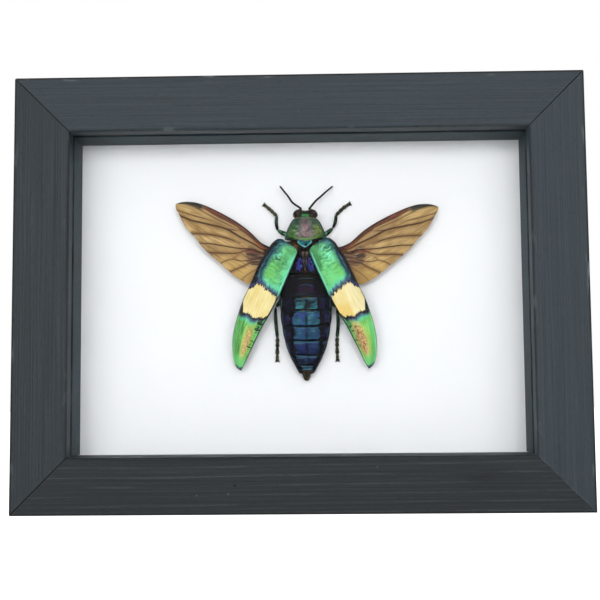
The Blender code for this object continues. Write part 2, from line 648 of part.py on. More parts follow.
def build_limb(name, path, radii, beetle, flatness=1.0):
    """A jointed limb: a tube along the path with its own radius at each point."""
    points = [Vector(point) for point in path]
    rings = []
    for number, (point, radius) in enumerate(zip(points, radii)):
        before = points[max(0, number - 1)]
        after = points[min(len(points) - 1, number + 1)]
        along = (after - before).normalized()
        sideways = along.cross(Vector((0, 0, 1))).normalized()
        upward = sideways.cross(along).normalized()
        ring = []
        for step in range(LIMB_SIDES):
            angle = 2 * math.pi * (step + 0.5) / LIMB_SIDES
            offset = sideways * (radius * math.cos(angle)) + upward * (radius * flatness * math.sin(angle))
            ring.append(tuple(point + offset))
        rings.append(ring)
    add_object(name, *loft(rings), "leg_shell", beetle)


def build_legs(beetle):
    """Six legs, each reaching from under the body to the card."""
    groups = (
        ("foreleg", FORELEG_PATHS, SHORT_LEG_RADII),
        ("midleg", MIDLEG_PATHS, SHORT_LEG_RADII),
        ("hindleg", HINDLEG_PATHS, LONG_LEG_RADII),
    )
    for name, paths, radii in groups:
        for side in ("left", "right"):
            build_limb(f"{name}_{side}", paths[side], radii, beetle, LEG_FLATNESS)


def build_antennae(beetle):
    """Two thin feelers."""
    for side in ("left", "right"):
        build_limb(f"antenna_{side}", ANTENNA_PATHS[side], ANTENNA_RADII, beetle)


def build_pin(beetle, card):
    """The pin through the body, with its head nipped off, and its bore in the card."""
    profile = (
        (PIN_TIP, -PIN_IN_CARD), (PIN_RADIUS, -PIN_IN_CARD + PIN_TAPER), (PIN_RADIUS, PIN_TOP - PIN_CHAMFER),
        (PIN_RADIUS - PIN_CHAMFER, PIN_TOP),
    )
    add_object("pin", *turned(profile), "black_pin", beetle, place=(PIN_X, 0, 0))
    add_cutter(card, "card_bore", *rod(PIN_HOLE_RADIUS, -PIN_IN_CARD - FINE_GAP, 1), parent=beetle,
               place=(PIN_X, 0, 0))


def build_beetle(card):
    """The specimen, modelled lying down and stood up against the card."""
    beetle = bpy.data.objects.new("beetle_place", None)
    bpy.context.scene.collection.objects.link(beetle)
    beetle.location = Vector((BEETLE_X, FRONT_Y + CARD_FRONT, BEETLE_Z)) * MM
    beetle.rotation_euler = (math.radians(90), 0, 0)
    build_head(beetle)
    build_prothorax(beetle)
    build_thorax(beetle)
    build_abdomen(beetle)
    for side in ("left", "right"):
        build_elytron(beetle, side)
        build_hindwing(beetle, side)
    build_legs(beetle)
    build_antennae(beetle)
    build_pin(beetle, card)


def main():
    """Build the frame and the beetle in it."""
    clear_scene()
    card = build_frame()
    build_beetle(card)


main()
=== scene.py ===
"""Framed jewel beetle specimen, finished.

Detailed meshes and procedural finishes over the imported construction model, in a plain studio.
Tables and sizes are in millimetres, and the mesh and stage helpers turn them into metres.
"""

import math
from dataclasses import dataclass
from itertools import product

import bmesh
import bpy
import numpy as np
from mathutils import Matrix, Vector


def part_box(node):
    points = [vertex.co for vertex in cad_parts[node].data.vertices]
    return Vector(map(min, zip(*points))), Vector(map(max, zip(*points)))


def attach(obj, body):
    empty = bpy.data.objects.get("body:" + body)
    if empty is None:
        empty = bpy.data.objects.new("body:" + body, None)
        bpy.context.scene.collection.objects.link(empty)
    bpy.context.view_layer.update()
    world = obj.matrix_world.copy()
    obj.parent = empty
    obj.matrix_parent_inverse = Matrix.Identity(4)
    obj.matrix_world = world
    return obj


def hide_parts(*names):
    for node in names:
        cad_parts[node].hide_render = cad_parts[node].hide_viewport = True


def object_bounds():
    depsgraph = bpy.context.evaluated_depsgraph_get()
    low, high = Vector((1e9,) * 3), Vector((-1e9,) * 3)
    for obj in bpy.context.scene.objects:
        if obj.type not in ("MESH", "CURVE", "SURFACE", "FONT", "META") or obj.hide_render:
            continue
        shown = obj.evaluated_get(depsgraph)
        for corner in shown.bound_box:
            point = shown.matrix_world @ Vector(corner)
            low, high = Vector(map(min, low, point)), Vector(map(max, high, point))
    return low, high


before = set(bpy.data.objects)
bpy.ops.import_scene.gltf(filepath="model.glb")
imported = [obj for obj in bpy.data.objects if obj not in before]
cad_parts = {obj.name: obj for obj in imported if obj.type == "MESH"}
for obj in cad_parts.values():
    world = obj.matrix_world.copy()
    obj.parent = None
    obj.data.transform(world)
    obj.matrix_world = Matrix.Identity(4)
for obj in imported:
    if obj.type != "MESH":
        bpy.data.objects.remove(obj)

bl_info = {
    "name": "Framed Jewel Beetle",
    "version": (1, 0, 0),
    "blender": (4, 5, 0),
    "location": "3D View > Sidebar > Specimen",
    "description": "Finished surfaces of a framed jewel beetle specimen",
    "category": "Add Mesh",
}

MM = 0.001
CAD_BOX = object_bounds()


def node_box(name):
    """Lowest and highest corner of a CAD node, in millimetres."""
    low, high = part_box(name)
    return np.array(low) / MM, np.array(high) / MM


# Frame, measured on the CAD nodes
TOP_LOW, TOP_HIGH = node_box("rail_top")
FRAME_WIDTH = (CAD_BOX[1][0] - CAD_BOX[0][0]) / MM
FRAME_HEIGHT = TOP_HIGH[2]
FACE_WIDTH = node_box("rail_bottom")[1][2]
FRONT_Y = TOP_LOW[1]
FRAME_DEPTH = TOP_HIGH[1] - TOP_LOW[1]
CARD_Y = node_box("mount_card")[0][1]
LIP_THICKNESS = 4.5
RABBET_WIDTH = 3.2
OUTER_ROUNDING = 0.3
INNER_ROUNDING = 0.7
BACK_ROUNDING = 0.5
MITRE_GAP = 0.2
MITRE_CONTACT = 0.01
# End of a rail whose mitre is closed in front: 1 for its right or upper end, -1 for the other
TIGHT_MITRES = {"bottom": 1, "right": -1}
# Painted light and shade of each rail's stain: the top and right rails painted lighter, the left and bottom
# rails painted darker
RAIL_LIGHT_LEVELS = {"top": 0.98, "bottom": 0.1, "left": 0.5, "right": 0.96}
KNOT_PLACE = (54.2, 9.4)
KNOT_REACH = (7.5, 3.4)
GRAIN_PITCH = 2.5
GRAIN_START = 0.2
GRAIN_SLOPE = 0.008
# Wear between wide grain lines, wear all over, and both together
WIDE_WEAR = 0.045
EVEN_WEAR = 0.022
FULL_WEAR = 0.067

# The beetle lies on its card: X to its right, Y to its head, Z up from the card
PIN_X = 0.15
PIN_LOW, PIN_HIGH = node_box("pin")
BEETLE_X = (PIN_LOW[0] + PIN_HIGH[0]) / 2 - PIN_X
BEETLE_Z = (PIN_LOW[2] + PIN_HIGH[2]) / 2
BEETLE_PLACE = Matrix.Translation(Vector((BEETLE_X, CARD_Y, BEETLE_Z)) * MM) @ Matrix.Rotation(
    math.radians(90), 4, "X"
)

OUTWARD = {"left": -1, "right": 1}

# Wing cases: distance from the shoulder along the case, inner edge, outer edge
ELYTRON_STATIONS = (
    (-0.75, 0.6, 1.5), (-0.5, -0.3, 2.1), (-0.15, -1.9, 2.45), (0.15, -3.0, 2.65), (0.6, -3.85, 2.95),
    (1.5, -4.25, 3.35), (3.0, -4.2, 3.7), (6.0, -4.05, 4.4), (9.0, -3.85, 4.8), (14.0, -3.5, 5.15),
    (19.5, -2.8, 5.6), (24.0, -1.9, 5.45), (28.5, -1.4, 4.9), (31.5, -1.05, 4.0), (33.8, -0.85, 3.05),
    (35.6, -0.6, 1.9), (36.4, -0.5, 1.0), (36.75, -0.45, 0.1),
)
ELYTRON_THICKNESS = 0.4
ELYTRON_EDGE_THICKNESS = 0.16
# Heights at the base and at the tip, along the inner edge and along the outer edge
ELYTRON_HEIGHTS = ((7.6, 4.4), (6.4, 3.7))
# Rise of the arch between the edges, at the base and at the tip
ELYTRON_ARCH = (1.25, 0.7)
ELYTRON_END_REACH = 4.0
ELYTRON_HINGE = {"left": (-5.8, 0.6), "right": (4.6, 0.8)}
ELYTRON_ANGLE = {"left": 19.9, "right": 20.2}
BAND_REACH = 40.0
# Edges of the pale band: share of the way from the inner to the outer edge, distance along the case
BAND_START = (
    (0.0, 16.4), (0.05, 15.2), (0.12, 14.6), (0.24, 14.25), (0.35, 13.75), (0.45, 13.85), (0.54, 13.3),
    (0.64, 13.1), (0.74, 13.0), (0.8, 13.3), (0.86, 14.3), (0.92, 14.6), (1.0, 15.4),
)
BAND_END = (
    (0.0, 18.0), (0.05, 20.2), (0.11, 21.2), (0.2, 21.25), (0.31, 21.6), (0.41, 22.05), (0.55, 21.6),
    (0.67, 21.3), (0.76, 21.45), (0.88, 21.4), (0.95, 20.8), (1.0, 19.3),
)
# Share of the case's width where its dark outer margin starts, by distance along the case
MARGIN_START = {
    "left": ((0.0, 0.5), (1.0, 0.6), (2.5, 0.71), (4.5, 0.78), (7.0, 0.79), (9.0, 0.81), (10.6, 0.77),
             (11.8, 0.68), (13.0, 0.6), (40.0, 0.6)),
    "right": ((0.0, 0.6), (1.0, 0.73), (3.0, 0.82), (5.0, 0.81), (8.0, 0.8), (10.2, 0.82), (11.4, 0.76),
              (13.0, 0.66), (40.0, 0.66)),
}

# Membrane wings: distance outward from the base, trailing edge, leading edge
HINDWING_STATIONS = (
    (-3.6, 0.4, 2.0), (-2.6, -4.3, 1.7), (-1.6, -7.7, 1.4), (-0.2, -9.8, 1.1), (1.3, -10.5, 0.95),
    (3.0, -10.75, 1.0), (5.0, -10.5, 1.6), (7.0, -10.1, 2.35), (9.5, -9.4, 3.05), (13.0, -8.3, 3.65),
    (17.0, -7.05, 4.0), (21.2, -5.05, 4.15), (24.2, -3.7, 3.9), (26.6, -2.05, 3.2), (28.4, -0.65, 2.3),
    (29.4, 0.25, 1.5), (29.75, 0.75, 1.1),
)
# Heights at the base and at the tip, along the trailing edge and along the leading edge
HINDWING_HEIGHTS = ((3.9, 3.0), (5.0, 3.3))
HINDWING_BASE = {"left": (-9.55, -1.4), "right": (9.5, -1.5)}
HINDWING_ANGLE = {"left": 25.3, "right": 22.0}
# Veins: half width, fold height, then points as (distance outward, share from trailing to leading edge)
VEINS = (
    (0.17, 0.16, ((27.6, 0.0), (25.6, 0.24), (23.3, 0.365), (21.0, 0.48), (18.5, 0.59), (16.0, 0.68),
                  (13.7, 0.735), (11.7, 0.75), (9.3, 0.77), (6.6, 0.82), (4.2, 0.87), (-1.0, 0.9))),
    (0.1, 0.0, ((14.0, 0.73), (11.6, 0.82), (9.8, 0.9))),
    (0.07, -0.12, ((28.6, 0.12), (27.3, 0.32), (25.5, 0.45), (23.5, 0.54), (21.1, 0.62), (18.5, 0.7))),
    (0.1, -0.16, ((22.2, 0.03), (19.5, 0.255), (17.2, 0.4), (14.4, 0.51), (11.8, 0.585), (9.0, 0.645))),
    (0.12, 0.15, ((19.2, 0.0), (16.4, 0.205), (13.8, 0.32), (11.2, 0.43), (8.6, 0.54), (6.0, 0.68),
                  (3.5, 0.79), (-1.0, 0.82))),
    (0.1, -0.14, ((15.7, 0.0), (13.2, 0.16), (10.5, 0.31), (8.3, 0.44), (6.9, 0.565), (5.0, 0.72),
                  (2.5, 0.78))),
    (0.09, 0.12, ((11.4, 0.0), (10.2, 0.15), (8.8, 0.27), (7.9, 0.41), (7.0, 0.53))),
    (0.08, 0.0, ((8.8, 0.27), (6.6, 0.35), (4.6, 0.48), (2.2, 0.68), (0.0, 0.76))),
    (0.08, -0.12, ((8.0, 0.0), (6.8, 0.135), (5.3, 0.29), (4.0, 0.45), (2.0, 0.575), (-0.5, 0.7))),
    (0.05, 0.1, ((4.2, 0.0), (3.4, 0.16), (2.2, 0.33), (0.5, 0.5))),
    (0.06, 0.0, ((26.4, 0.86), (24.4, 0.84), (22.6, 0.8), (19.5, 0.8), (15.0, 0.83), (11.0, 0.86))),
    (0.1, 0.1, ((10.6, 0.9), (7.5, 0.93), (4.5, 0.94), (1.0, 0.95))),
)
# A vein that starts further out than this fades in over the next stretch
VEIN_FADE_FROM = 6.5
VEIN_FADE = 3.0
# Share of the wing's width where its thick front edge starts
FRONT_EDGE = (
    (0.0, 0.9), (3.0, 0.915), (5.0, 0.945), (8.0, 0.94), (10.0, 0.926), (12.0, 0.915), (14.0, 0.9),
    (18.0, 0.877), (21.5, 0.89), (30.0, 0.89),
)

# Squareness of the body's sections: 2 is a plain oval
OVAL_POWER = 2.3
# Body: place along the body, half width, top height, side height, bottom height
PROTHORAX_STATIONS = (
    (7.75, 3.0, 5.9, 4.0, 2.2), (7.3, 3.55, 6.35, 4.0, 1.9), (6.2, 4.3, 6.9, 3.9, 1.75),
    (4.6, 5.05, 7.3, 3.8, 1.7), (3.2, 5.5, 7.4, 3.8, 1.7), (2.0, 5.75, 7.4, 3.8, 1.7),
    (1.0, 5.75, 7.25, 3.8, 1.8),
)
REAR_EDGE_START = 4.6
REAR_EDGE_SWEEP = 0.95
REAR_EDGE_HALF_WIDTH = 4.0
PIT_SPACING = 0.38
# Dents of the prothorax: x, y and width
SHIELD_DENTS = ((-2.0, 5.4, 0.5), (2.2, 5.6, 0.45), (-1.9, 3.4, 0.4), (1.9, 3.1, 0.5), (-2.9, 4.2, 0.4))
DENT_DEPTH = 0.16
THORAX_STATIONS = (
    (1.2, 5.5, 6.2, 4.1, 1.8), (0.4, 5.8, 6.5, 4.1, 1.65), (-1.2, 5.8, 6.5, 3.9, 1.6),
    (-3.2, 5.8, 6.4, 3.8, 1.6), (-5.4, 6.3, 6.2, 3.8, 1.6), (-7.6, 6.6, 5.9, 3.7, 1.6),
)
THORAX_MIDDLE = -0.15
SHIELD_FRONT = 0.75
SHIELD_LENGTH = 1.65
SHIELD_HALF_WIDTH = 2.1
SHIELD_RISE = 0.75
SOCKET_INWARD = 2.2
SOCKET_REARWARD = 1.0
ABDOMEN_STATIONS = (
    (-7.8, 6.6, 5.5, 3.7, 1.6), (-11.0, 6.9, 5.3, 3.6, 1.6), (-14.8, 7.1, 5.3, 3.6, 1.6),
    (-19.0, 6.95, 5.3, 3.6, 1.6), (-23.0, 6.45, 5.2, 3.5, 1.6), (-26.5, 5.75, 5.0, 3.3, 1.6),
    (-29.5, 4.8, 4.7, 3.1, 1.5), (-32.3, 3.45, 4.3, 2.8, 1.4), (-34.0, 2.55, 4.0, 2.6, 1.5),
    (-34.9, 1.95, 3.8, 2.5, 1.6), (-35.2, 1.2, 3.7, 2.5, 1.7), (-36.1, 0.95, 3.4, 2.4, 1.8),
    (-36.75, 0.6, 3.1, 2.4, 2.0), (-37.0, 0.25, 2.8, 2.4, 2.1),
)
TERGITE_EDGES = (-9.0, -14.2, -17.8, -22.2, -26.1, -30.0, -32.7)
TERGITE_STEP = 0.22
# Half width of the middle plates of the back, by place along the body
PANEL_WIDTHS = (
    (-34.5, 1.0), (-33.0, 1.7), (-31.0, 2.6), (-28.0, 3.3), (-24.0, 3.65), (-20.0, 3.6), (-16.0, 3.05),
    (-7.0, 2.9),
)
BACK_MIDDLE = 0.1
HEAD_STATIONS = (
    (7.92, 2.6, 5.6, 4.3, 2.5), (8.7, 2.6, 5.7, 4.3, 2.3), (9.3, 2.2, 5.4, 4.3, 2.4),
    (9.7, 1.6, 5.0, 4.2, 2.7), (9.9, 0.9, 4.7, 4.1, 3.1),
)
EYE_PLACE = (2.0, 8.95, 4.6)
EYE_RADII = (1.42, 1.28, 1.7)
EYE_LEAN = 0.35
EYE_POLE = 0.04

# Radii of a leg's segments, by share of their length
THIGH = ((0, 0.4), (0.3, 0.62), (0.62, 0.68), (0.88, 0.5), (1, 0.4))
SHIN = ((0, 0.4), (0.12, 0.38), (0.45, 0.46), (0.85, 0.44), (1, 0.5))
FOOT_LOBE = ((0, 0.4), (0.35, 0.46), (0.78, 0.58), (1, 0.44))
# Legs and feelers: x, y and z of each joint and swelling, from the body to the tip
MIDLEG_PATH = (
    (1.6, -1.8, 1.1), (5.6, -4.0, 0.95), (8.6, -5.2, 1.0), (9.6, -7.6, 0.95), (9.9, -10.4, 0.85),
    (9.8, -11.4, 0.75), (9.6, -12.4, 0.7), (9.5, -13.4, 0.65), (9.5, -14.2, 0.6), (9.5, -14.6, 0.5),
)
LEG_PATHS = {
    "foreleg_left": (
        (-1.6, 3.2, 1.2), (-5.4, 3.85, 0.95), (-7.8, 4.95, 1.0), (-8.15, 6.9, 1.0), (-8.05, 9.0, 0.9),
        (-8.8, 9.8, 0.8), (-9.7, 10.7, 0.7), (-10.5, 11.4, 0.65), (-11.2, 12.0, 0.6), (-11.6, 12.3, 0.5),
    ),
    "foreleg_right": (
        (1.6, 2.6, 1.2), (5.2, 3.6, 0.95), (7.6, 5.4, 1.0), (8.3, 7.2, 1.0), (8.5, 9.0, 0.9),
        (9.3, 9.9, 0.8), (10.2, 10.8, 0.7), (11.2, 11.6, 0.65), (12.0, 12.1, 0.6), (12.4, 12.3, 0.5),
    ),
    "midleg_left": [(-x, y, z) for x, y, z in MIDLEG_PATH],
    "midleg_right": MIDLEG_PATH,
    "hindleg_left": (
        (-1.7, -6.9, 1.1), (-5.6, -13.0, 0.95), (-8.5, -16.6, 1.0), (-8.5, -20.4, 1.0),
        (-8.05, -25.1, 0.9), (-8.1, -26.2, 0.7), (-8.1, -27.6, 0.7), (-8.15, -29.6, 0.65),
        (-8.15, -30.8, 0.6), (-8.15, -31.4, 0.5),
    ),
    "hindleg_right": (
        (1.7, -6.9, 1.1), (5.6, -13.2, 0.95), (8.5, -17.0, 1.0), (8.75, -21.0, 1.0), (8.45, -25.1, 0.9),
        (8.4, -26.2, 0.7), (8.4, -27.6, 0.7), (8.45, -29.6, 0.65), (8.5, -30.8, 0.6), (8.5, -31.4, 0.5),
    ),
}
LEG_FLATNESS = 0.75
FOOT_FLATNESS = 0.7
FOOT_OVERLAP = 1.06
FOOT_END_SIZE = 0.86
HINDLEG_GIRTH = 1.06
CLAW_SPREAD = 0.72
CLAW_DROP = 0.18
ANTENNA_PATHS = {
    "antenna_left": (
        (-1.1, 10.2, 3.9), (-1.6, 10.85, 3.7), (-2.9, 11.8, 3.3), (-3.75, 12.6, 3.0), (-4.3, 13.5, 2.8),
        (-5.1, 14.7, 2.5), (-5.9, 15.7, 2.2), (-7.0, 17.2, 1.9),
    ),
    "antenna_right": (
        (1.0, 10.2, 3.9), (1.5, 10.95, 3.7), (2.2, 11.9, 3.3), (3.1, 13.0, 3.0), (4.1, 13.85, 2.8),
        (5.2, 14.9, 2.5), (6.3, 15.9, 2.2), (7.6, 17.0, 1.9),
    ),
}

# How fine each mesh is: steps along it, then across or around it
RAIL_STEPS = {"top": 131, "bottom": 131, "left": 101, "right": 101}
PROTHORAX_STEPS = (110, 200)
THORAX_STEPS = (96, 150)
ABDOMEN_STEPS = (236, 200)
HEAD_STEPS = (40, 96)
EYE_STEPS = (44, 64)
ELYTRON_STEPS = (300, 80)
HINDWING_STEPS = (300, 130)
LIMB_STEPS = (26, 14)
ROUTE_STEPS = 59
FOOT_STEPS = 12
CLAW_STEPS = (9, 8)
SPUR_STEPS = (6, 8)
FEELER_SEGMENTS = 11
FEELER_STEPS = (10, 10)

# Camera of the photograph, found from the straight edges of the frame: place, then angles in degrees
CAMERA_PLACE = (7.297, -310.816, 28.882)
CAMERA_PAN = 1.3784
CAMERA_TILT = 5.1591
CAMERA_ROLL = -0.4761
CAMERA_LENS = 68.07
CAMERA_SENSOR = 36.0

# Ring of light in front: its axis, then angles from the axis with the ring's strength
RING_AXIS = (-0.01, -0.996, 0.085)
RING_STOPS = ((90.0, 0.0), (14.0, 0.0), (11.0, 1.0), (8.0, 1.0), (6.0, 0.0), (0.0, 0.0))
FLOOR_HALF = 4.0
FLOOR_DROP = 0.00002


def tint(red, green, blue):
    """Linear colour from its display values, 0 to 255."""
    shares = [value / 255 for value in (red, green, blue)]
    return tuple(s / 12.92 if s <= 0.04045 else ((s + 0.055) / 1.055) ** 2.4 for s in shares) + (1.0,)


# Values over a mesh

def smooth_columns(stations, places):
    """Columns of a station table at many places, on curves that never overshoot their points."""
    table = np.array(sorted(stations), float)
    knots, values = table[:, 0], table[:, 1:]
    spans = np.diff(knots)[:, None]
    steps = np.diff(values, axis=0) / spans
    before, after = steps[:-1], steps[1:]
    level = before * after <= 0
    middles = np.where(level, 0.0, 2 * before * after / np.where(level, 1.0, before + after))
    slopes = np.concatenate((steps[:1], middles, steps[-1:]))
    places = np.asarray(places, float)
    i = np.clip(np.searchsorted(knots, places, side="right") - 1, 0, len(spans) - 1)
    span = spans[i]
    t = (places - knots[i])[..., None] / span
    first = (1 + 2 * t) * (1 - t) ** 2 * values[i] + t * (1 - t) ** 2 * span * slopes[i]
    second = t * t * (3 - 2 * t) * values[i + 1] + t * t * (t - 1) * span * slopes[i + 1]
    return np.moveaxis(first + second, -1, 0)


def end_spaced(start, end, count):
    """Places from start to end, closer together towards both ends."""
    even = np.linspace(0, 1, count)
    eased = (1 - np.cos(math.pi * even)) / 2
    return start + (end - start) * (0.45 * even + 0.55 * eased)


def between(pair, share):
    """Straight blend between two values."""
    return pair[0] + (pair[1] - pair[0]) * share


def ends(stations):
    """First and last place of a station table."""
    return stations[0][0], stations[-1][0]


def rise_from_ends(place, start, end, reach):
    """0 at either end of a stretch and 1 further in than the reach, along a quarter circle."""
    inside = np.clip(np.minimum(place - start, end - place) / reach, 0, 1)
    return np.sqrt(1 - (1 - inside) ** 2)


def step_up(low, high, value):
    """Smooth step from 0 at low to 1 at high."""
    t = np.clip((value - low) / (high - low), 0, 1)
    return t * t * (3 - 2 * t)


def hump(value, centre, width):
    """Round hump of height 1."""
    return np.exp(-(((value - centre) / width) ** 2))


def lattice(*cells):
    """Repeatable random values between -1 and 1 for whole-numbered places."""
    key = np.zeros(np.broadcast_shapes(*(np.shape(cell) for cell in cells)), np.uint64)
    for number, cell in enumerate(cells):
        whole = np.asarray(cell, np.int64).astype(np.uint64)
        key = (key ^ (whole + np.uint64(number * 7919 + 1))) * np.uint64(0x9E3779B97F4A7C15)
        key = key ^ (key >> np.uint64(29))
    return ((key >> np.uint64(24)) & np.uint64(0xFFFF)) / 32767.5 - 1


def noise(x, y, seed=0):
    """Smooth noise between -1 and 1, with one lattice cell for each unit."""
    x, y = np.broadcast_arrays(x, y)
    cell_x, cell_y = np.floor(x), np.floor(y)
    part_x, part_y = x - cell_x, y - cell_y
    part_x = part_x * part_x * (3 - 2 * part_x)
    part_y = part_y * part_y * (3 - 2 * part_y)
    total = np.zeros(x.shape)
    for i, j in product((0, 1), repeat=2):
        weight = (part_x if i else 1 - part_x) * (part_y if j else 1 - part_y)
        total += weight * lattice(cell_x + i, cell_y + j, seed)
    return total


def layered(x, y, layers=3, seed=0):
    """Several layers of noise, each half as strong and half as large as the one before."""
    return sum(noise(x * 2**n, y * 2**n, seed + n) / 2**n for n in range(layers)) * 0.6


def nearest_spot(x, y, spacing, seed=0):
    """Distance in millimetres to the nearest of many scattered spots."""
    cell_x, cell_y = np.floor(x / spacing), np.floor(y / spacing)
    best = np.full(np.broadcast_shapes(np.shape(x), np.shape(y)), spacing * 2.0)
    for i, j in product((-1, 0, 1), repeat=2):
        spot_x = (cell_x + i + 0.5 + 0.4 * lattice(cell_x + i, cell_y + j, seed)) * spacing
        spot_y = (cell_y + j + 0.5 + 0.4 * lattice(cell_x + i, cell_y + j, seed + 1)) * spacing
        best = np.minimum(best, np.hypot(x - spot_x, y - spot_y))
    return best


# Meshes

def stack(x, y, z):
    """Points from their three values."""
    return np.stack(np.broadcast_arrays(x, y, z), -1)


@dataclass
class Shell:
    """Points in millimetres, their faces, and named values for each point."""

    points: np.ndarray
    faces: list
    values: dict
    finish: int = 0


def grid_quads(rows, columns, closed=False):
    """Quads over points stored row by row. A closed grid joins each row's end to its start."""
    i = np.arange(rows - 1)[:, None]
    j = np.arange(columns if closed else columns - 1)[None, :]
    after = (j + 1) % columns
    corners = (i * columns + j, i * columns + after, (i + 1) * columns + after, (i + 1) * columns + j)
    return np.stack(np.broadcast_arrays(*corners), axis=-1).reshape(-1, 4).tolist()


def spread(values, shape):
    """Named values as one number for each point of a grid."""
    return {name: np.broadcast_to(value, shape).ravel() for name, value in values.items()}


def skin(rings, values, finish=0):
    """Closed shell through rings of points, with flat ends."""
    rows, columns = rings.shape[:2]
    faces = grid_quads(rows, columns, closed=True)
    faces.append(range(columns))
    faces.append(range(rows * columns - columns, rows * columns))
    return Shell(rings.reshape(-1, 3), faces, spread(values, (rows, columns)), finish)


def sheet(grid, thickness, values):
    """Closed thin shell: the grid's points above, the same points lowered by the thickness below."""
    rows, columns = grid.shape[:2]
    lower = rows * columns
    top = grid.reshape(-1, 3)
    below = (grid - stack(0, 0, thickness)).reshape(-1, 3)
    quads = grid_quads(rows, columns)
    faces = quads + [[corner + lower for corner in reversed(quad)] for quad in quads]
    rim = list(range(columns))
    rim += [i * columns + columns - 1 for i in range(1, rows)]
    rim += [(rows - 1) * columns + j for j in range(columns - 2, -1, -1)]
    rim += [i * columns for i in range(rows - 2, 0, -1)]
    faces += [(a, b, b + lower, a + lower) for a, b in zip(rim, rim[1:] + rim[:1])]
    doubled = {name: np.tile(value, 2) for name, value in spread(values, (rows, columns)).items()}
    return Shell(np.concatenate((top, below)), faces, {**doubled, "under": np.repeat((0.0, 1.0), lower)})


def add_object(name, data):
    """Put a new object in the scene."""
    item = bpy.data.objects.new(name, data)
    bpy.context.scene.collection.objects.link(item)
    return item


def make_piece(name, shells, finishes, nodes, place=BEETLE_PLACE, crease=40):
    """One mesh object from shells. It rides on the frame and stands for its CAD nodes."""
    points = np.concatenate([shell.points for shell in shells]) * MM
    faces, finish_of_face, start = [], [], 0
    for shell in shells:
        faces += [tuple(corner + start for corner in face) for face in shell.faces]
        finish_of_face += [shell.finish] * len(shell.faces)
        start += len(shell.points)
    mesh = bpy.data.meshes.new(name)
    mesh.from_pydata(points.tolist(), [], faces)
    work = bmesh.new()
    work.from_mesh(mesh)
    bmesh.ops.recalc_face_normals(work, faces=work.faces)
    work.to_mesh(mesh)
    work.free()
    mesh.polygons.foreach_set("material_index", finish_of_face)
    for value_name in sorted({key for shell in shells for key in shell.values}):
        parts = [shell.values.get(value_name, np.zeros(len(shell.points))) for shell in shells]
        layer = mesh.attributes.new(value_name, "FLOAT", "POINT")
        layer.data.foreach_set("value", np.concatenate(parts).astype(np.float32))
    mesh.shade_smooth()
    mesh.set_sharp_from_angle(angle=math.radians(crease))
    for finish in finishes:
        mesh.materials.append(finish)
    piece = add_object(name, mesh)
    piece.matrix_world = place
    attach(piece, "root")
    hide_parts(*nodes)


def dress(node, finish):
    """Give a CAD node a finish in its own material slots."""
    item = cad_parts[node]
    if not item.material_slots:
        item.data.materials.append(finish)
    for material_slot in item.material_slots:
        material_slot.material = finish


# Finishes

def math_node(operation, reflected=False):
    """A method of a tone that adds one Math node."""
    def method(tone, other=0.0):
        return tone.finish.math(operation, *((other, tone) if reflected else (tone, other)))
    return method


class Tone:
    """A shader socket that adds Math nodes when it is used in an expression."""

    def __init__(self, finish, socket):
        self.finish = finish
        self.socket = socket

    __add__, __radd__ = math_node("ADD"), math_node("ADD", True)
    __sub__, __rsub__ = math_node("SUBTRACT"), math_node("SUBTRACT", True)
    __mul__, __rmul__ = math_node("MULTIPLY"), math_node("MULTIPLY", True)
    __truediv__, __rtruediv__ = math_node("DIVIDE"), math_node("DIVIDE", True)
    __abs__ = math_node("ABSOLUTE")
    # The lower and the higher of two values, and a value raised to a power
    least, most, power = math_node("MINIMUM"), math_node("MAXIMUM"), math_node("POWER")

    def step(self, low, high):
        """Smooth step from 0 at low to 1 at high. It falls where low is the higher one."""
        ends = {"From Min": min(low, high), "From Max": max(low, high)}
        heights = {"To Min": float(low > high), "To Max": float(low < high)}
        settings = {"interpolation_type": "SMOOTHSTEP"}
        return self.finish.node("MapRange", settings, {"Value": self, **ends, **heights})

    def hump(self, centre, width):
        """Round hump of height 1."""
        away = (self - centre) / width
        return self.finish.math("EXPONENT", away * away * -1.0)

    def teeth(self):
        """Saw teeth between 0 and 1, one for each unit."""
        return self.finish.math("PINGPONG", self, 0.5) * 2.0

    def curve(self, points, reach, span=1.0):
        """Value of a curve through points between 0 and the span, whose heights are below the reach."""
        scaled = [(x / span, y / reach) for x, y in points]
        return self.finish.node("FloatCurve", {"curve": scaled}, {"Value": self / span}) * reach


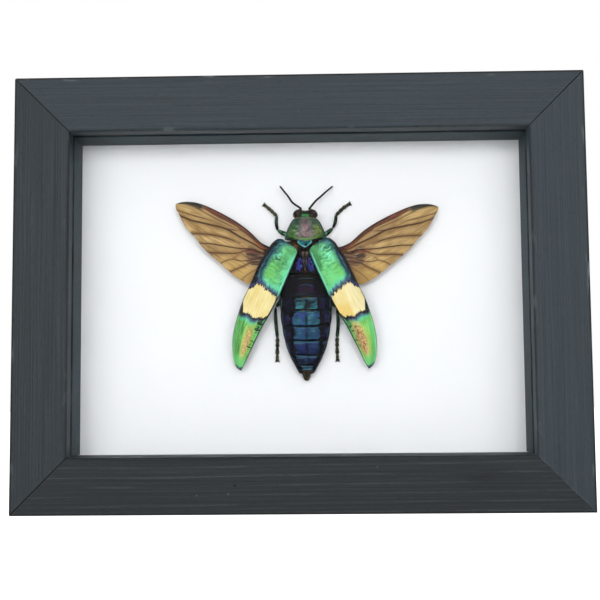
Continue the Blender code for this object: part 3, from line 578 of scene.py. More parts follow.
class Finish:
    """The nodes of one procedural material, or of the world."""

    def __init__(self, name, world=False):
        self.made = (bpy.data.worlds if world else bpy.data.materials).new(name)
        self.made.use_nodes = True
        self.tree = self.made.node_tree
        self.tree.nodes.clear()

    def node(self, kind, settings, sockets, output=0):
        """Add a node: its type, its settings, then the values or links of its sockets."""
        made = self.tree.nodes.new("ShaderNode" + kind)
        for name, value in settings.items():
            if name == "curve":
                self.shape_curve(made.mapping, value)
            elif name == "stops":
                self.shape_ramp(made.color_ramp.elements, value)
            else:
                setattr(made, name, value)
        for name, value in sockets.items():
            if isinstance(value, Tone):
                self.tree.links.new(value.socket, made.inputs[name])
            else:
                made.inputs[name].default_value = value
        return Tone(self, made.outputs[output])

    def shape_curve(self, mapping, points):
        """Set a curve's points, with soft bends at them."""
        line = mapping.curves[0]
        while len(line.points) < len(points):
            line.points.new(0.5, 0.5)
        for point, (x, y) in zip(line.points, points):
            point.location = (x, y)
            point.handle_type = "AUTO"
        mapping.update()

    def shape_ramp(self, stops, levels):
        """Set the stops of a grey ramp."""
        while len(stops) < len(levels):
            stops.new(0.5)
        for stop, (position, level) in zip(stops, levels):
            stop.position = position
            stop.color = (level, level, level, 1)

    def math(self, operation, first, second=0.0):
        """One Math node."""
        return self.node("Math", {"operation": operation}, {0: first, 1: second})

    def value(self, name):
        """A named value of the mesh."""
        return self.node("Attribute", {"attribute_name": name}, {}, output="Fac")

    def values(self, *names):
        """Several named values of the mesh."""
        return [self.value(name) for name in names]

    def plan(self):
        """Place across and along the body, in millimetres."""
        place = self.place()
        return self.part(place, "X"), self.part(place, "Y")

    def place(self, scale=1.0):
        """Place on the object in millimetres, times the scale."""
        own = self.node("TexCoord", {}, {}, output="Object")
        return self.node("VectorMath", {"operation": "SCALE"}, {0: own, "Scale": scale / MM})

    def part(self, vector, axis):
        """One value of a vector."""
        return self.node("SeparateXYZ", {}, {0: vector}, output=axis)

    def stretched(self, *scales):
        """Place on the object in millimetres, times a scale for each axis."""
        return self.node("VectorMath", {"operation": "MULTIPLY"}, {0: self.place(), 1: scales})

    def noise(self, place, detail=2.0, roughness=0.5, distortion=0.0):
        """Smooth noise around 0.5, with one lattice cell for each unit of a vector or of several values."""
        if isinstance(place, tuple):
            place = self.node("CombineXYZ", {}, dict(enumerate(place)))
        sockets = {"Vector": place, "Scale": 1.0, "Detail": detail, "Roughness": roughness}
        return self.node("TexNoise", {}, {**sockets, "Distortion": distortion})

    def grain(self, scale, *shape):
        """Noise all over the object, with so many lattice cells to a millimetre."""
        return self.noise(self.place(scale), *shape)

    def spots(self, scale, randomness=1.0):
        """Distance to the nearest of many scattered spots, so many to a millimetre."""
        inputs = {"Vector": self.place(scale), "Scale": 1.0, "Randomness": randomness}
        return self.node("TexVoronoi", {}, inputs)

    def mix(self, first, second, share):
        """Blend of two colours."""
        settings = {"data_type": "RGBA", "clamp_factor": True}
        return self.node("Mix", settings, {0: share, 6: first, 7: second}, output=2)

    def coats(self, color, coats):
        """Paint over a colour: each coat has red, green and blue from 0 to 255, and its cover."""
        for red, green, blue, cover in coats:
            color = self.mix(color, tint(red, green, blue), cover)
        return color

    def bump(self, height, distance, strength=1.0):
        """Normal from a height, for a distance in millimetres."""
        return self.node("Bump", {}, {"Height": height, "Distance": distance * MM, "Strength": strength})

    def surface(self, color, roughness, metallic=0.0, gloss=0.5, normal=None, coat=(0.0, 0.03), thin=None):
        """Close the material with a Principled shader.

        Coat is a clear coat's weight and roughness. Thin is how much light goes through, and its colour.
        """
        sockets = {"Base Color": color, "Roughness": roughness, "Metallic": metallic}
        sockets |= {"Specular IOR Level": gloss, "Coat Weight": coat[0], "Coat Roughness": coat[1]}
        if normal is not None:
            sockets["Normal"] = normal
        shader = self.node("BsdfPrincipled", {}, sockets)
        if thin is not None:
            through = self.node("BsdfTranslucent", {}, {"Color": thin[1]})
            shader = self.node("MixShader", {}, {0: thin[0], 1: shader, 2: through})
        return self.close(shader)

    def close(self, shader, kind="OutputMaterial"):
        """Use a shader as the surface."""
        output = self.tree.nodes.new("ShaderNode" + kind)
        self.tree.links.new(shader.socket, output.inputs["Surface"])
        return self.made


def stained_wood(look):
    """Dark stained softwood, brushed so that its harder grain lines stand out, with painted light and shade
    on each rail.
    """
    f = Finish("stained_wood")
    along, around = f.values("along", "around")
    ridge, edge, seed, tone = f.values("ridge", "edge", "seed", "tone")
    broad = f.noise((along * 0.008, around * 0.3, seed), 3.0)
    streaks = f.noise((along * 0.02, around * 2.4, seed), 4.0, 0.6)
    fibres = f.noise((along * 0.35, around * 12.0, seed), 3.0, 0.6)
    pores = f.noise((along * 0.5, around * 8.0, seed + 4.0), 1.0).step(0.62, 0.72)
    ribs = f.noise((along * 0.015, around * 4.2, seed + 7.0), 2.0, 0.5)
    shade = (streaks * 0.3 + ribs * 0.5 + fibres * 0.35 + broad * 0.1).step(0.48, 0.78)
    # Painted light and shade: tone lightens the stain on the lit rails and darkens it on the shaded ones
    level = tone * 0.5 + shade * (0.32 + tone * 0.35)
    color = f.mix(tuple(look.wood_dark) + (1.0,), tuple(look.wood_light) + (1.0,), level)
    patchy = f.noise((along * 0.1, around * 0.6, seed), 3.0)
    joint = (f.value("joint") + (fibres - 0.5) * 0.3).step(0.3, 0.1)
    specks = f.spots(0.16)
    pits = f.spots(0.055)
    color = f.coats(color, (
        # Pale on the raised grain lines: worn stain, and a painted highlight where they catch the light
        (104, 112, 116, ridge * fibres.step(0.25, 0.6) * 0.3),
        (20, 23, 25, pores * 0.4),
        # Painted shade: a dark line on the rounded outer edges. Pale worn edges, painted lighter as a
        # highlight on the lit rails
        (10, 12, 13, edge.step(0.64, 0.9) * 0.85),
        (122, 132, 134, edge * tone * patchy.step(0.58, 0.72) * 0.75),
        (12, 14, 16, f.value("knot") * (fibres * 0.6 + patchy * 0.5).step(0.45, 0.65) * 0.6),
        (84, 95, 110, joint * patchy.step(0.4, 0.6) * 0.6),
        (150, 158, 160, specks.step(0.03, 0.012) * 0.7),
        (12, 14, 16, pits.step(0.03, 0.018) * 0.8),
    ))
    height = fibres * 0.5 + streaks * 0.3 - pores * 0.5
    return f.surface(
        color, 0.5 + streaks * 0.12 + pores * 0.1,
        gloss=0.3,
        normal=f.bump(height, 0.05, 0.5),
    )


def painted_strip():
    """Thin painted wood strip, with faint brush lines and painted shade where it meets the card."""
    f = Finish("painted_strip")
    lines = f.noise(f.stretched(0.08, 3.0, 0.08), 4.0)
    blotch = f.grain(0.12, 3.0)
    color = f.mix(tint(38, 49, 56), tint(60, 76, 84), (lines * 0.5 + blotch * 0.5).step(0.35, 0.7))
    # Painted shade: darker within a millimetre of the card
    to_card = CARD_Y - f.part(f.place(), "Y")
    color = f.mix(color, tint(9, 12, 14), to_card.step(1.2, 0.1) * 0.6)
    return f.surface(color, 0.55 + blotch * 0.15, gloss=0.2, normal=f.bump(lines, 0.05, 0.4))


def clear_glass(look):
    """Picture glass, faintly green, with the lightest haze of handling."""
    f = Finish("clear_glass")
    haze = f.grain(0.03, 3.0)
    color = f.mix((0.975, 0.985, 0.98, 1.0), (0.99, 0.995, 0.995, 1.0), haze)
    glass = f.node("BsdfPrincipled", {}, {
        "Base Color": color,
        "Roughness": 0.0,
        "Transmission Weight": 1.0,
        "IOR": look.glass_ior,
    })
    clear = f.node("BsdfTransparent", {}, {"Color": (0.97, 0.98, 0.98, 1.0)})
    lamp_ray = f.node("LightPath", {}, {}, output="Is Shadow Ray")
    return f.close(f.node("MixShader", {}, {0: lamp_ray, 1: glass, 2: clear}))


def white_card(look):
    """Smooth white mount card with a fine tooth."""
    f = Finish("white_card")
    tooth = f.grain(2.5, 4.0, 0.7)
    cloud = f.grain(0.02, 2.0)
    color = f.mix(tuple(look.card) + (1.0,), (0.935, 0.936, 0.952, 1.0), cloud * 0.4 + tooth * 0.2)
    return f.surface(color, 0.85 + tooth * 0.1, gloss=0.25, normal=f.bump(tooth, 0.03, 0.35))


def brown_board():
    """Pressed fibre board with a woven press mark and flecks."""
    f = Finish("brown_board")
    fibre = f.grain(1.4, 5.0, 0.7, 1.2)
    fleck = f.spots(0.6).step(0.25, 0.08)
    cloud = f.grain(0.05, 3.0)
    place = f.place()
    weave = f.math("SINE", f.part(place, "X") * 5.2) * f.math("SINE", f.part(place, "Z") * 5.2)
    color = f.mix(tint(104, 74, 48), tint(150, 112, 76), (fibre * 0.7 + cloud * 0.4).step(0.3, 0.8))
    color = f.mix(color, tint(70, 48, 30), fleck * 0.5)
    return f.surface(color, 0.75 + fibre * 0.2, normal=f.bump(weave * 0.4 + fibre * 0.6, 0.12, 0.6))


def zinc_steel():
    """Zinc plated steel: soft crystals, drawn lines and dull spots."""
    f = Finish("zinc_steel")
    crystals = f.node("TexVoronoi", {}, {"Vector": f.place(0.9), "Scale": 1.0}, output="Color")
    grey = f.part(crystals, "X")
    dull = f.grain(0.7, 4.0, 0.6)
    lines = f.noise(f.stretched(0.6, 9.0, 9.0), 2.0)
    color = f.mix(tint(176, 178, 176), tint(206, 208, 205), grey)
    color = f.mix(color, tint(132, 128, 118), dull.step(0.55, 0.75) * 0.6)
    return f.surface(
        color, 0.26 + grey * 0.14 + dull * 0.16,
        metallic=1.0 - dull.step(0.6, 0.8) * 0.3,
        normal=f.bump(lines, 0.02, 0.4),
    )


def black_pin():
    """Black enamelled steel pin, worn bright in places."""
    f = Finish("black_pin")
    wear = f.grain(4.0, 3.0).step(0.6, 0.8)
    return f.surface(
        f.mix(tint(5, 5, 7), tint(50, 52, 56), wear * 0.3), 0.4 + wear * 0.2,
        metallic=wear * 0.4,
        gloss=0.15,
    )


def wing_case_shell(look, side):
    """Metallic green wing case with a pale toothed band, a coppery patch and dark edges."""
    f = Finish(f"wing_case_{side}")
    left = side == "left"
    seed = 3.0 if left else 8.0
    s, t, under = f.values("along", "across", "under")
    relief, lit = f.values("relief", "lit")
    cloud = f.noise((s * 0.26, t * 2.2, seed), 4.0, 0.55, 0.6)
    streak = f.noise((s * 0.2, t * 26.0, seed), 4.0, 0.65)
    crinkle = f.noise((s * 1.3, t * 7.0, seed + 4.0), 5.0, 0.7, 1.2)
    rough = f.noise((s * 0.8 + t * 2.0, t * 4.6, seed + 9.0), 4.0, 0.6, 1.0)
    grain = f.grain(3.0, 4.0, 0.75)

    # Edges of the pale band, with lengthwise teeth of uneven height
    uneven = f.noise((t * 5.0, seed), 2.0)
    coarse = (t * 10.0 + uneven * 3.0).teeth().power(1.4)
    sharp = (t * 23.0 + uneven * 5.0).teeth().power(1.3)
    height = f.noise((t * 9.0, s * 0.1, seed + 2.0), 1.0)
    jag = coarse * height + sharp * 0.55 - 0.5
    inside_start = s - t.curve(BAND_START, BAND_REACH) + jag
    inside_end = t.curve(BAND_END, BAND_REACH) - s - jag * 0.7
    inside = inside_start.least(inside_end)
    from_outer = t - (0.985 - s.step(17.8, 22.4) * 0.15)
    edge_line = t.step(0.018, 0.035) * from_outer.step(0.008, -0.008)
    band = inside.step(-0.03, 0.05) * edge_line

    # Base: mint and emerald, wrinkled near the shoulder, with painted highlights and shade on the crinkles
    mint = (cloud * 0.6 + crinkle * 0.6 + s * 0.008).step(0.48, 0.74)
    base = f.mix(tint(62, 134, 76), tint(108, 202, 122), mint)
    base = f.coats(base, (
        # Painted highlight spots and painted shade on the crinkles
        (146, 228, 176, crinkle.step(0.57, 0.66) * s.step(12.0, 9.0) * 0.4),
        (38, 112, 78, crinkle.step(0.41, 0.33) * s.step(12.0, 9.0) * 0.45),
    ))
    if left:
        base = f.coats(base, (
            # Darker all over and towards the outer half: random tone, and painted shade on the left case
            (36, 84, 56, (0.1 + rough.step(0.56, 0.4) * 0.35 + t.step(0.4, 0.7) * 0.12).least(1.0)),
            (112, 222, 168, t.step(0.3, 0.1) * s.step(1.5, 3.5) * cloud.step(0.3, 0.6) * 0.7),
            (100, 176, 58, t.hump(0.58, 0.2) * s.hump(8.6, 3.2) * crinkle.step(0.3, 0.6) * 0.9),
            (74, 150, 88, t.hump(0.22, 0.16) * s.hump(1.8, 1.9) * 0.8),
        ))
        glow = t.hump(0.62, 0.17) * s.hump(3.2, 2.1)
    else:
        shade = (t + s * 0.035 + (cloud - 0.5) * 0.3).step(0.46, 0.36) * s.step(8.5, 6.0)
        base = f.coats(base, (
            (50, 118, 66, shade * 0.8),
            (98, 180, 62, t.hump(0.62, 0.15) * s.hump(8.4, 2.9) * crinkle.step(0.3, 0.6) * 0.85),
        ))
        glow = t.hump(0.56, 0.2) * s.hump(3.6, 2.6)
    base = f.coats(base, (
        # Painted highlights and painted shade on the shoulder wrinkles, inside the glow zone
        (122, 226, 196, glow * rough.step(0.47, 0.58) * 0.9),
        (28, 92, 80, glow * rough.step(0.44, 0.34) * 0.85),
        # Painted highlight along the inner rim
        (120, 218, 190, t.step(0.09, 0.03) * s.step(0.5, 3.0) * 0.75),
        (96, 208, 166, (inside_start + (crinkle - 0.5) * 1.6).step(-3.2, -1.2) * 0.8),
        # Painted shade in dents and on slopes turned from the light, painted highlights on crests and lit
        # slopes
        (24, 88, 78, relief.step(0.0, -0.16).most(lit.step(0.0, -0.5)) * 0.7),
        (146, 236, 200, relief.step(0.02, 0.18).most(lit.step(0.05, 0.55)) * 0.55),
    ))

    # Outer margin: teal, navy, a broken steel blue gleam, then black
    start = s.curve(MARGIN_START[side], 1.0, BAND_REACH)
    margin = t - start + (streak - 0.5) * 0.1 + (rough - 0.5) * 0.12
    front = s.step(3.2, 0.8)
    gleam = margin.hump(0.085, 0.055) * s.step(2.5, 6.0)
    base = f.coats(base, (
        (38, 108, 108, margin.step(-0.17, -0.01) * 0.75),
        (16, 34, 62, margin.step(-0.06, 0.03) * (0.92 - front * 0.45)),
        (70, 128, 148, gleam * (streak * 0.6 + crinkle * 0.5).step(0.48, 0.62) * 0.9),
        (8, 16, 34, margin.hump(0.02, 0.03) * s.hump(7.0, 3.0) * streak.step(0.35, 0.55) * 0.8),
        (44, 118, 118, front * margin.step(-0.05, 0.08) * rough.step(0.42, 0.56) * 0.8),
        # Painted highlights on the shoulder's crumples
        (112, 186, 188, front * margin.hump(0.02, 0.12) * crinkle.step(0.54, 0.62) * 0.7),
        (5, 7, 13, margin.step(0.1, 0.2).most((t + (streak - 0.5) * 0.06).step(0.87, 0.92))),
        (18, 52, 70, s.step(1.0, -0.3) * (0.55 + rough * 0.7)),
        # Painted highlight on the front of the shoulder
        (104, 168, 172, s.hump(0.5, 0.5) * t.hump(0.5, 0.3) * rough.step(0.5, 0.6) * 0.6),
    ))

    # Tip: streaky green with a coppery patch, brighter towards the end
    tip = f.mix(tint(56, 116, 54), tint(126, 200, 96), (streak * 0.9 + cloud * 0.3).step(0.44, 0.68))
    if left:
        tip = f.coats(tip, (
            (50, 116, 48, t.step(0.5, 0.62) * s.step(34.0, 30.0) * streak.step(0.65, 0.4) * 0.85),
            (152, 204, 104, t.hump(0.46, 0.12) * s.hump(25.6, 3.0) * streak.step(0.52, 0.62) * 0.8),
        ))
    else:
        tip = f.coats(tip, (
            (40, 80, 42, t.step(0.4, 0.2) * s.step(27.0, 23.5) * streak.step(0.3, 0.6) * 0.85),
            (150, 184, 84, t.hump(0.58, 0.16) * s.step(24.0, 28.0) * s.step(34.5, 33.0) * 0.85),
        ))
    patch_middle = (s - (29.2 if left else 28.8)) / (4.6 if left else 4.8)
    patch_across = (t - (0.36 if left else 0.32)) / (0.17 if left else 0.2)
    patch = 1.0 - patch_middle * patch_middle - patch_across * patch_across
    speckle = f.noise((s * 0.9, t * 20.0, seed + 2.0), 5.0, 0.75, 0.4)
    tip = f.mix(tip, tint(150, 172, 82), (patch + (speckle - 0.5) * 2.6).step(-1.5, 0.2) * 0.85)
    copper = f.mix(tint(158, 112, 70), tint(226, 180, 128), speckle.step(0.42, 0.6))
    spread = patch * 0.7 + (speckle - 0.5) * 3.4 + (cloud - 0.5) * 1.2 + (0.0 if left else 0.3)
    spread = spread.step(-0.1, 0.75)
    tip = f.mix(tip, copper, spread * 0.9)
    rust = f.noise((s * 1.7, t * 12.0, seed + 6.0), 5.0, 0.75, 0.5)
    dots = (patch + (cloud - 0.5) * 2.0).step(-0.4, 0.5) * rust.step(0.5, 0.57)
    rim = s + (t - 0.4) * (t - 0.4) * 2.0 + (crinkle - 0.5) * 0.8
    tip = f.coats(tip, (
        (112, 58, 36, dots * (0.4 if left else 0.85)),
        (40, 28, 18, (patch + 0.2).step(-0.2, 0.5) * rust.step(0.59, 0.64) * (0.3 if left else 0.9)),
        (112, 206, 120, (s + (crinkle - 0.5) * 3.4).step(32.2, 34.6) * 0.85),
        (112, 208, 126, t.step(0.66, 0.9) * s.step(23.5, 26.0) * (0.35 if left else 0.9)),
        (74, 188, 116, t.hump(0.1, 0.09) * s.step(33.0, 23.0) * streak.step(0.35, 0.6) * 0.7),
        (74, 196, 154, inside_end.step(-2.8, -1.3) * (t + (0.0 if left else -0.06)).step(0.2, 0.4) * 0.8),
        (46, 66, 96, rim.step(35.7, 36.2) * 0.9),
        # Painted shade on the slopes turned from the light
        (20, 70, 48, lit.step(-0.1, -0.4) * 0.7),
    ))

    # Dark toothed line round the band, thin black line round the whole case
    color = f.mix(base, tip, s.step(17.0, 19.0))
    fade = f.noise((t * 34.0, s * 0.35, seed + 7.0), 3.0, 0.6) * 1.3
    violet = (inside + fade).step(-1.2, -0.3)
    behind = s.step(17.0, 19.0)
    thick = behind * (t.step(0.35, 0.1).most(t.step(0.65, 0.9)) * 0.45 + 0.1)
    color = f.coats(color, (
        (58, 68, 116, violet * 0.9),
        (20, 14, 26, (inside + fade * 0.75 + thick).step(-0.36, 0.12)),
    ))
    cream = f.mix(tint(228, 204, 126), tint(238, 222, 160), (streak * 0.8 + cloud * 0.3).step(0.4, 0.65))
    if left:
        cream = f.mix(cream, tint(228, 200, 112), t.hump(0.72, 0.1) * s.step(18.0, 14.0) * 0.6)
    else:
        cream = f.coats(cream, (
            (240, 228, 184, t.step(0.45, 0.55) * streak.step(0.3, 0.6) * 0.8),
            (230, 192, 92, t.step(0.46, 0.4) * s.step(16.5, 19.0) * streak.step(0.25, 0.6) * 0.85),
        ))
    cream = f.mix(cream, tint(206, 176, 110), grain.step(0.6, 0.75) * 0.3)
    color = f.mix(color, cream, band)
    nicks = f.noise((s * 1.9, t * 5.0, seed + 5.0), 3.0, 0.6).step(0.5, 0.58) * 0.9
    nicks = nicks * s.step(32.0, 28.0) * s.step(22.5, 24.0) * t.hump(0.12, 0.085)
    if left:
        across_nick = t.hump(0.13, 0.11)
        dents = (s.hump(23.0, 0.55).most(s.hump(24.8, 0.45)) * across_nick).step(0.3, 0.55)
        nicks = nicks.most(dents).most((s.hump(30.0, 0.22) * t.hump(0.15, 0.14)).step(0.35, 0.6))
    outer_line = (from_outer.step(-0.004, 0.01) * s.step(23.5, 22.0)).most(t.step(0.97, 0.985) * 0.85)
    outer_line = outer_line * s.step(13.0, 14.0)
    outline = ((t + (streak - 0.5) * 0.03).step(0.05, 0.03) * s.step(14.0, 16.0)).most(outer_line)
    broken = 0.86 + (streak - 0.5) * 0.5
    color = f.coats(color, (
        (8, 26, 22, nicks * 0.92),
        (8, 10, 16, outline.most(s.step(36.2, 36.5)) * broken),
        (22, 52, 44, under),
    ))
    return f.surface(
        color, look.shell_roughness + grain * 0.12 + band * 0.12,
        metallic=(1.0 - band) * look.shell_metal,
        gloss=0.3,
        normal=f.bump(grain * 0.5 + streak * 0.3 + crinkle * 0.6, 0.08, 0.6),
        coat=(0.15, 0.12),
    )


def shield_shell(look):
    """The prothorax: rosy grey along its middle, yellow green at its pitted sides."""
    f = Finish("shield_shell")
    u, v = f.plan()
    across, up, pit, lit = f.values("across", "up", "pit", "lit")
    wide, back = abs(across), f.value("back")
    cloud = f.grain(0.8, 4.0, 0.6)
    fine = f.grain(2.6, 5.0, 0.75)
    shifted = u + (cloud - 0.5) * 2.0
    middle = f.mix(tint(44, 62, 56), tint(134, 114, 116), (cloud * 0.5 + fine * 0.75).step(0.48, 0.74))
    middle = f.coats(middle, (
        (60, 104, 84, shifted.step(-0.6, -2.0) * v.step(2.6, 4.4) * fine.step(0.6, 0.42) * 0.85),
        (64, 96, 84, shifted.step(0.7, 1.8) * v.step(3.6, 5.2) * fine.step(0.58, 0.42) * 0.7),
        (150, 54, 78, (u - (fine - 0.5) * 2.4).hump(-0.05, 0.2) * v.hump(4.2, 2.0) * 0.5),
    ))
    edge = abs(u) + (v - 2.0) * 0.2 + (cloud - 0.5) * 1.1 + (fine - 0.5) * 0.5
    sides = f.mix(tint(38, 92, 42), tint(112, 172, 64), (fine * 0.9 + cloud * 0.2).step(0.45, 0.68))
    sides = f.mix(sides, tint(34, 84, 84), v.step(4.0, 6.4) * 0.8)
    color = f.mix(middle, sides, edge.step(2.5, 3.1))
    flame = u.step(1.9, 3.2) * v.hump(4.6, 2.0) * (fine * 0.8 + cloud * 0.2).step(0.42, 0.56)
    lime = (back + (fine - 0.5) * 1.1).hump(1.55, 0.2) * (0.1 + fine * 1.3) * (1.0 - wide.step(0.6, 0.85))
    color = f.coats(color, (
        (170, 184, 54, flame * 0.75),
        (204, 106, 44, flame * u.hump(2.9, 0.4) * v.hump(3.4, 0.9) * 0.8),
        (34, 84, 66, v.step(5.6, 7.2) * wide.step(0.15, 0.6) * 0.7),
        (20, 70, 62, (wide + (fine - 0.5) * 0.1).step(0.8, 0.92)),
        (8, 20, 22, (wide + (fine - 0.5) * 0.06).step(0.93, 0.985)),
        (96, 168, 60, lime),
        (40, 92, 44, back.hump(1.32, 0.1) * 0.7),
        # Painted highlight: a broken pale line along the rear lip
        (176, 214, 170, back.hump(1.16, 0.07) * (cloud + fine).step(0.9, 1.1) * 0.7),
        (6, 12, 12, back.step(1.08, 1.02)),
        (150, 146, 74, v.step(7.2, 7.5) * fine.step(0.4, 0.6) * 0.8),
        (8, 24, 18, (pit * 1.6).least(1.0) * 0.9),
        # Painted shade on slopes turned from the light, painted highlights on lit slopes
        (14, 34, 32, lit.step(-0.08, -0.35) * 0.8),
        (190, 204, 186, lit.step(0.12, 0.4) * 0.4),
        (14, 28, 26, up.step(0.1, -0.1)),
    ))
    return f.surface(
        color, look.shell_roughness + 0.08 + fine * 0.14,
        metallic=0.4,
        gloss=0.25,
        normal=f.bump(fine, 0.1, 0.8),
        coat=(0.08, 0.15),
    )


def thorax_shell():
    """The thorax: teal shield, dark membrane, a grey ridge and violet patches beside it."""
    f = Finish("thorax_shell")
    u, v = f.plan()
    shield, ridge, up, patch = f.values("shield", "ridge", "up", "patch")
    flakes = f.grain(3.0, 5.0, 0.8)
    cloud = f.grain(0.9, 3.0)
    color = f.mix(tint(3, 3, 4), tint(14, 11, 12), cloud.step(0.35, 0.7))
    glitter = flakes.step(0.5, 0.6) * v.hump(-0.4, 1.5) * abs(u).step(1.7, 2.4)
    gaps = f.noise((u * 2.6, v * 0.9, 3.0), 3.0, 0.6)
    rim = shield.step(0.3, 0.45) * shield.step(0.9, 0.6)
    hole = f.math("SQRT", (u - PIN_X) * (u - PIN_X) + v * v)
    color = f.coats(color, (
        (176, 122, 76, glitter * 0.9),
        (86, 44, 18, v.hump(-7.2, 0.5) * u.hump(0.0, 0.7) * flakes.step(0.45, 0.6) * 0.8),
        (28, 22, 96, patch * flakes.step(0.34, 0.5) * gaps.step(0.38, 0.5)),
        (124, 118, 232, patch * flakes.step(0.53, 0.6) * gaps.step(0.42, 0.56)),
        (50, 112, 150, patch * cloud.step(0.5, 0.6) * flakes.step(0.48, 0.56) * 0.7),
        (92, 86, 80, ridge * (0.3 + flakes * 0.9)),
        (158, 124, 96, ridge * v.hump(-2.25, 0.35) * flakes.step(0.4, 0.55)),
        (30, 96, 104, shield.step(0.25, 0.5)),
        # Painted highlight round the small shield's rim and on its rear part
        (124, 214, 214, rim * (0.2 + flakes * 0.6 + v.step(0.1, -0.5) * 0.4).least(1.0)),
        (116, 204, 196, shield.step(0.6, 0.9) * v.step(-0.1, -0.5) * flakes.step(0.35, 0.6) * 0.5),
        (6, 8, 12, hole.step(0.52, 0.34)),
        (8, 12, 12, up.step(0.05, -0.1)),
    ))
    return f.surface(
        color, 0.26 + flakes * 0.3,
        metallic=0.4 + shield * 0.2,
        gloss=0.12,
        normal=f.bump(flakes, 0.1, 0.8),
    )


def body_shell():
    """The hind body: black with blue and violet flanks, and teal middle plates."""
    f = Finish("body_shell")
    u, v = f.plan()
    panel, plate, up, gap = f.values("panel", "plate", "up", "gap")
    lit, margin, knob = f.values("lit", "margin", "knob")
    cloud = f.grain(0.5, 4.0, 0.6)
    fine = f.grain(2.6, 4.0, 0.7)
    brushed = f.noise((u * 0.8, v * 5.0, 2.0), 4.0, 0.7)
    wide = abs(u - BACK_MIDDLE)
    dark = f.mix(tint(2, 2, 3), tint(10, 9, 14), (cloud * 0.6 + fine * 0.4).step(0.4, 0.7))
    spark = f.grain(4.6, 3.0, 0.7)
    violet = (wide - 1.4).hump(0.0, 0.8) * v.hump(-12.0, 1.1) * fine.step(0.36, 0.54)
    dark = f.coats(dark, (
        (50, 18, 60, f.grain(0.5, 2.0).step(0.58, 0.66) * fine.step(0.45, 0.6) * 0.5),
        # Violet and blue specks on the flanks: the shell's colour, partly painted glints
        (60, 52, 118, knob * cloud.step(0.4, 0.58) * spark.step(0.44, 0.56) * 0.85),
        (40, 52, 116, spark.step(0.62, 0.7) * v.step(-12.0, -16.0) * 0.7),
        (92, 40, 70, spark.step(0.66, 0.72) * cloud.step(0.5, 0.6) * 0.7),
        (64, 26, 84, violet * 0.5),
        # Painted highlights on the chevron and arc ridges
        (64, 84, 140, f.value("chevron") * fine.step(0.4, 0.58)),
        (48, 76, 82, f.value("arc") * (0.1 + brushed)),
    ))
    front = v.step(-14.1, -14.3)
    light = (brushed * 0.8 + cloud * 0.5 + plate * 0.25 - v.step(-23.0, -27.0) * 0.12).step(0.58, 0.98)
    teal = f.mix(tint(12, 24, 48), tint(48, 102, 116), light)
    sheen = brushed.step(0.48, 0.6) * (wide - 1.7).hump(0.0, 1.0) * plate.hump(0.48, 0.3)
    teal = f.mix(teal, tint(78, 156, 156), sheen * cloud.step(0.42, 0.58) * 0.85)
    patches = f.noise((u * 0.55, v * 0.4, 31.0), 2.0)
    teal = f.coats(teal, (
        (44, 54, 128, patches.step(0.5, 0.62) * v.step(-18.0, -19.0) * 0.6),
        (90, 170, 152, patches.step(0.44, 0.34) * brushed.step(0.5, 0.64) * 0.6),
    ))
    # Painted highlight along the rear rims of the plates
    painted_rim_highlight = plate.hump(0.83, 0.05) * (brushed + cloud * 0.9).step(0.82, 1.05) * v.step(-28.0, -25.0)
    teal = f.mix(teal, tint(64, 150, 146), painted_rim_highlight * 0.8)
    first_plate = v.step(-17.6, -17.4) * (plate + (cloud - 0.5) * 1.2).step(0.75, 0.3)
    teal = f.coats(teal, (
        (6, 9, 20, first_plate * 0.8),
        (22, 40, 92, (cloud + plate * 0.1).step(0.46, 0.6) * v.step(-19.0, -23.0) * 0.7),
        (20, 22, 66, v.step(-26.0, -27.4) * (0.35 + cloud * 0.5)),
        (8, 12, 26, v.step(-30.0, -31.4) * 0.5),
        # Painted shade in the middle groove
        (6, 10, 24, wide.hump(0.0, 0.34) * plate.step(0.25, 0.5) * 0.75),
        (5, 8, 20, wide.step(1.3, 0.5) * plate.step(0.42, 0.7) * v.step(-18.0, -17.0) * 0.85),
    ))
    worn = (panel + (brushed - 0.5) * 0.6).step(0.1, 0.45)
    # Painted shade towards the edges of the raised panels
    teal = f.mix(teal, tint(8, 14, 30), (panel + (cloud - 0.5) * 1.4).step(0.9, 0.4) * 0.7)
    color = f.mix(dark, teal, worn * front)
    gold = gap.hump(0.7, 0.34) * (wide + (cloud - 0.5) * 2.0).step(2.3, 1.1) * v.step(-22.0, -18.0)
    color = f.coats(color, (
        (40, 110, 122, plate.hump(0.1, 0.04) * panel * front * brushed.step(0.4, 0.6) * 0.5),
        (2, 2, 5, (gap + (cloud - 0.5) * 0.8 + (fine - 0.5) * 0.3).step(0.15, 0.6)),
        (176, 168, 112, gold * fine.step(0.4, 0.55)),
        # Painted highlight along the raised side margin
        (66, 96, 116, margin * (0.2 + fine * 1.1)),
        # Painted shade on slopes turned from the light, painted highlights on lit slopes
        (2, 3, 8, lit.step(-0.06, -0.3) * 0.8),
        (96, 150, 172, lit.step(0.12, 0.4) * (0.1 + panel * front * 0.3)),
    ))
    tail = v.step(-33.9, -34.3) * (wide - 0.2).step(1.5, 1.2)
    brown = f.mix(tint(9, 7, 5), tint(84, 64, 32), (fine * 0.7 + cloud * 0.4).step(0.5, 0.64))
    color = f.mix(color, brown, tail)
    color = f.mix(color, tint(6, 10, 12), up.step(0.0, -0.15))
    return f.surface(
        color, 0.24 + fine * 0.2,
        metallic=0.5,
        gloss=0.12,
        normal=f.bump(fine * 0.5 + brushed * 0.5, 0.14, 0.9),
    )


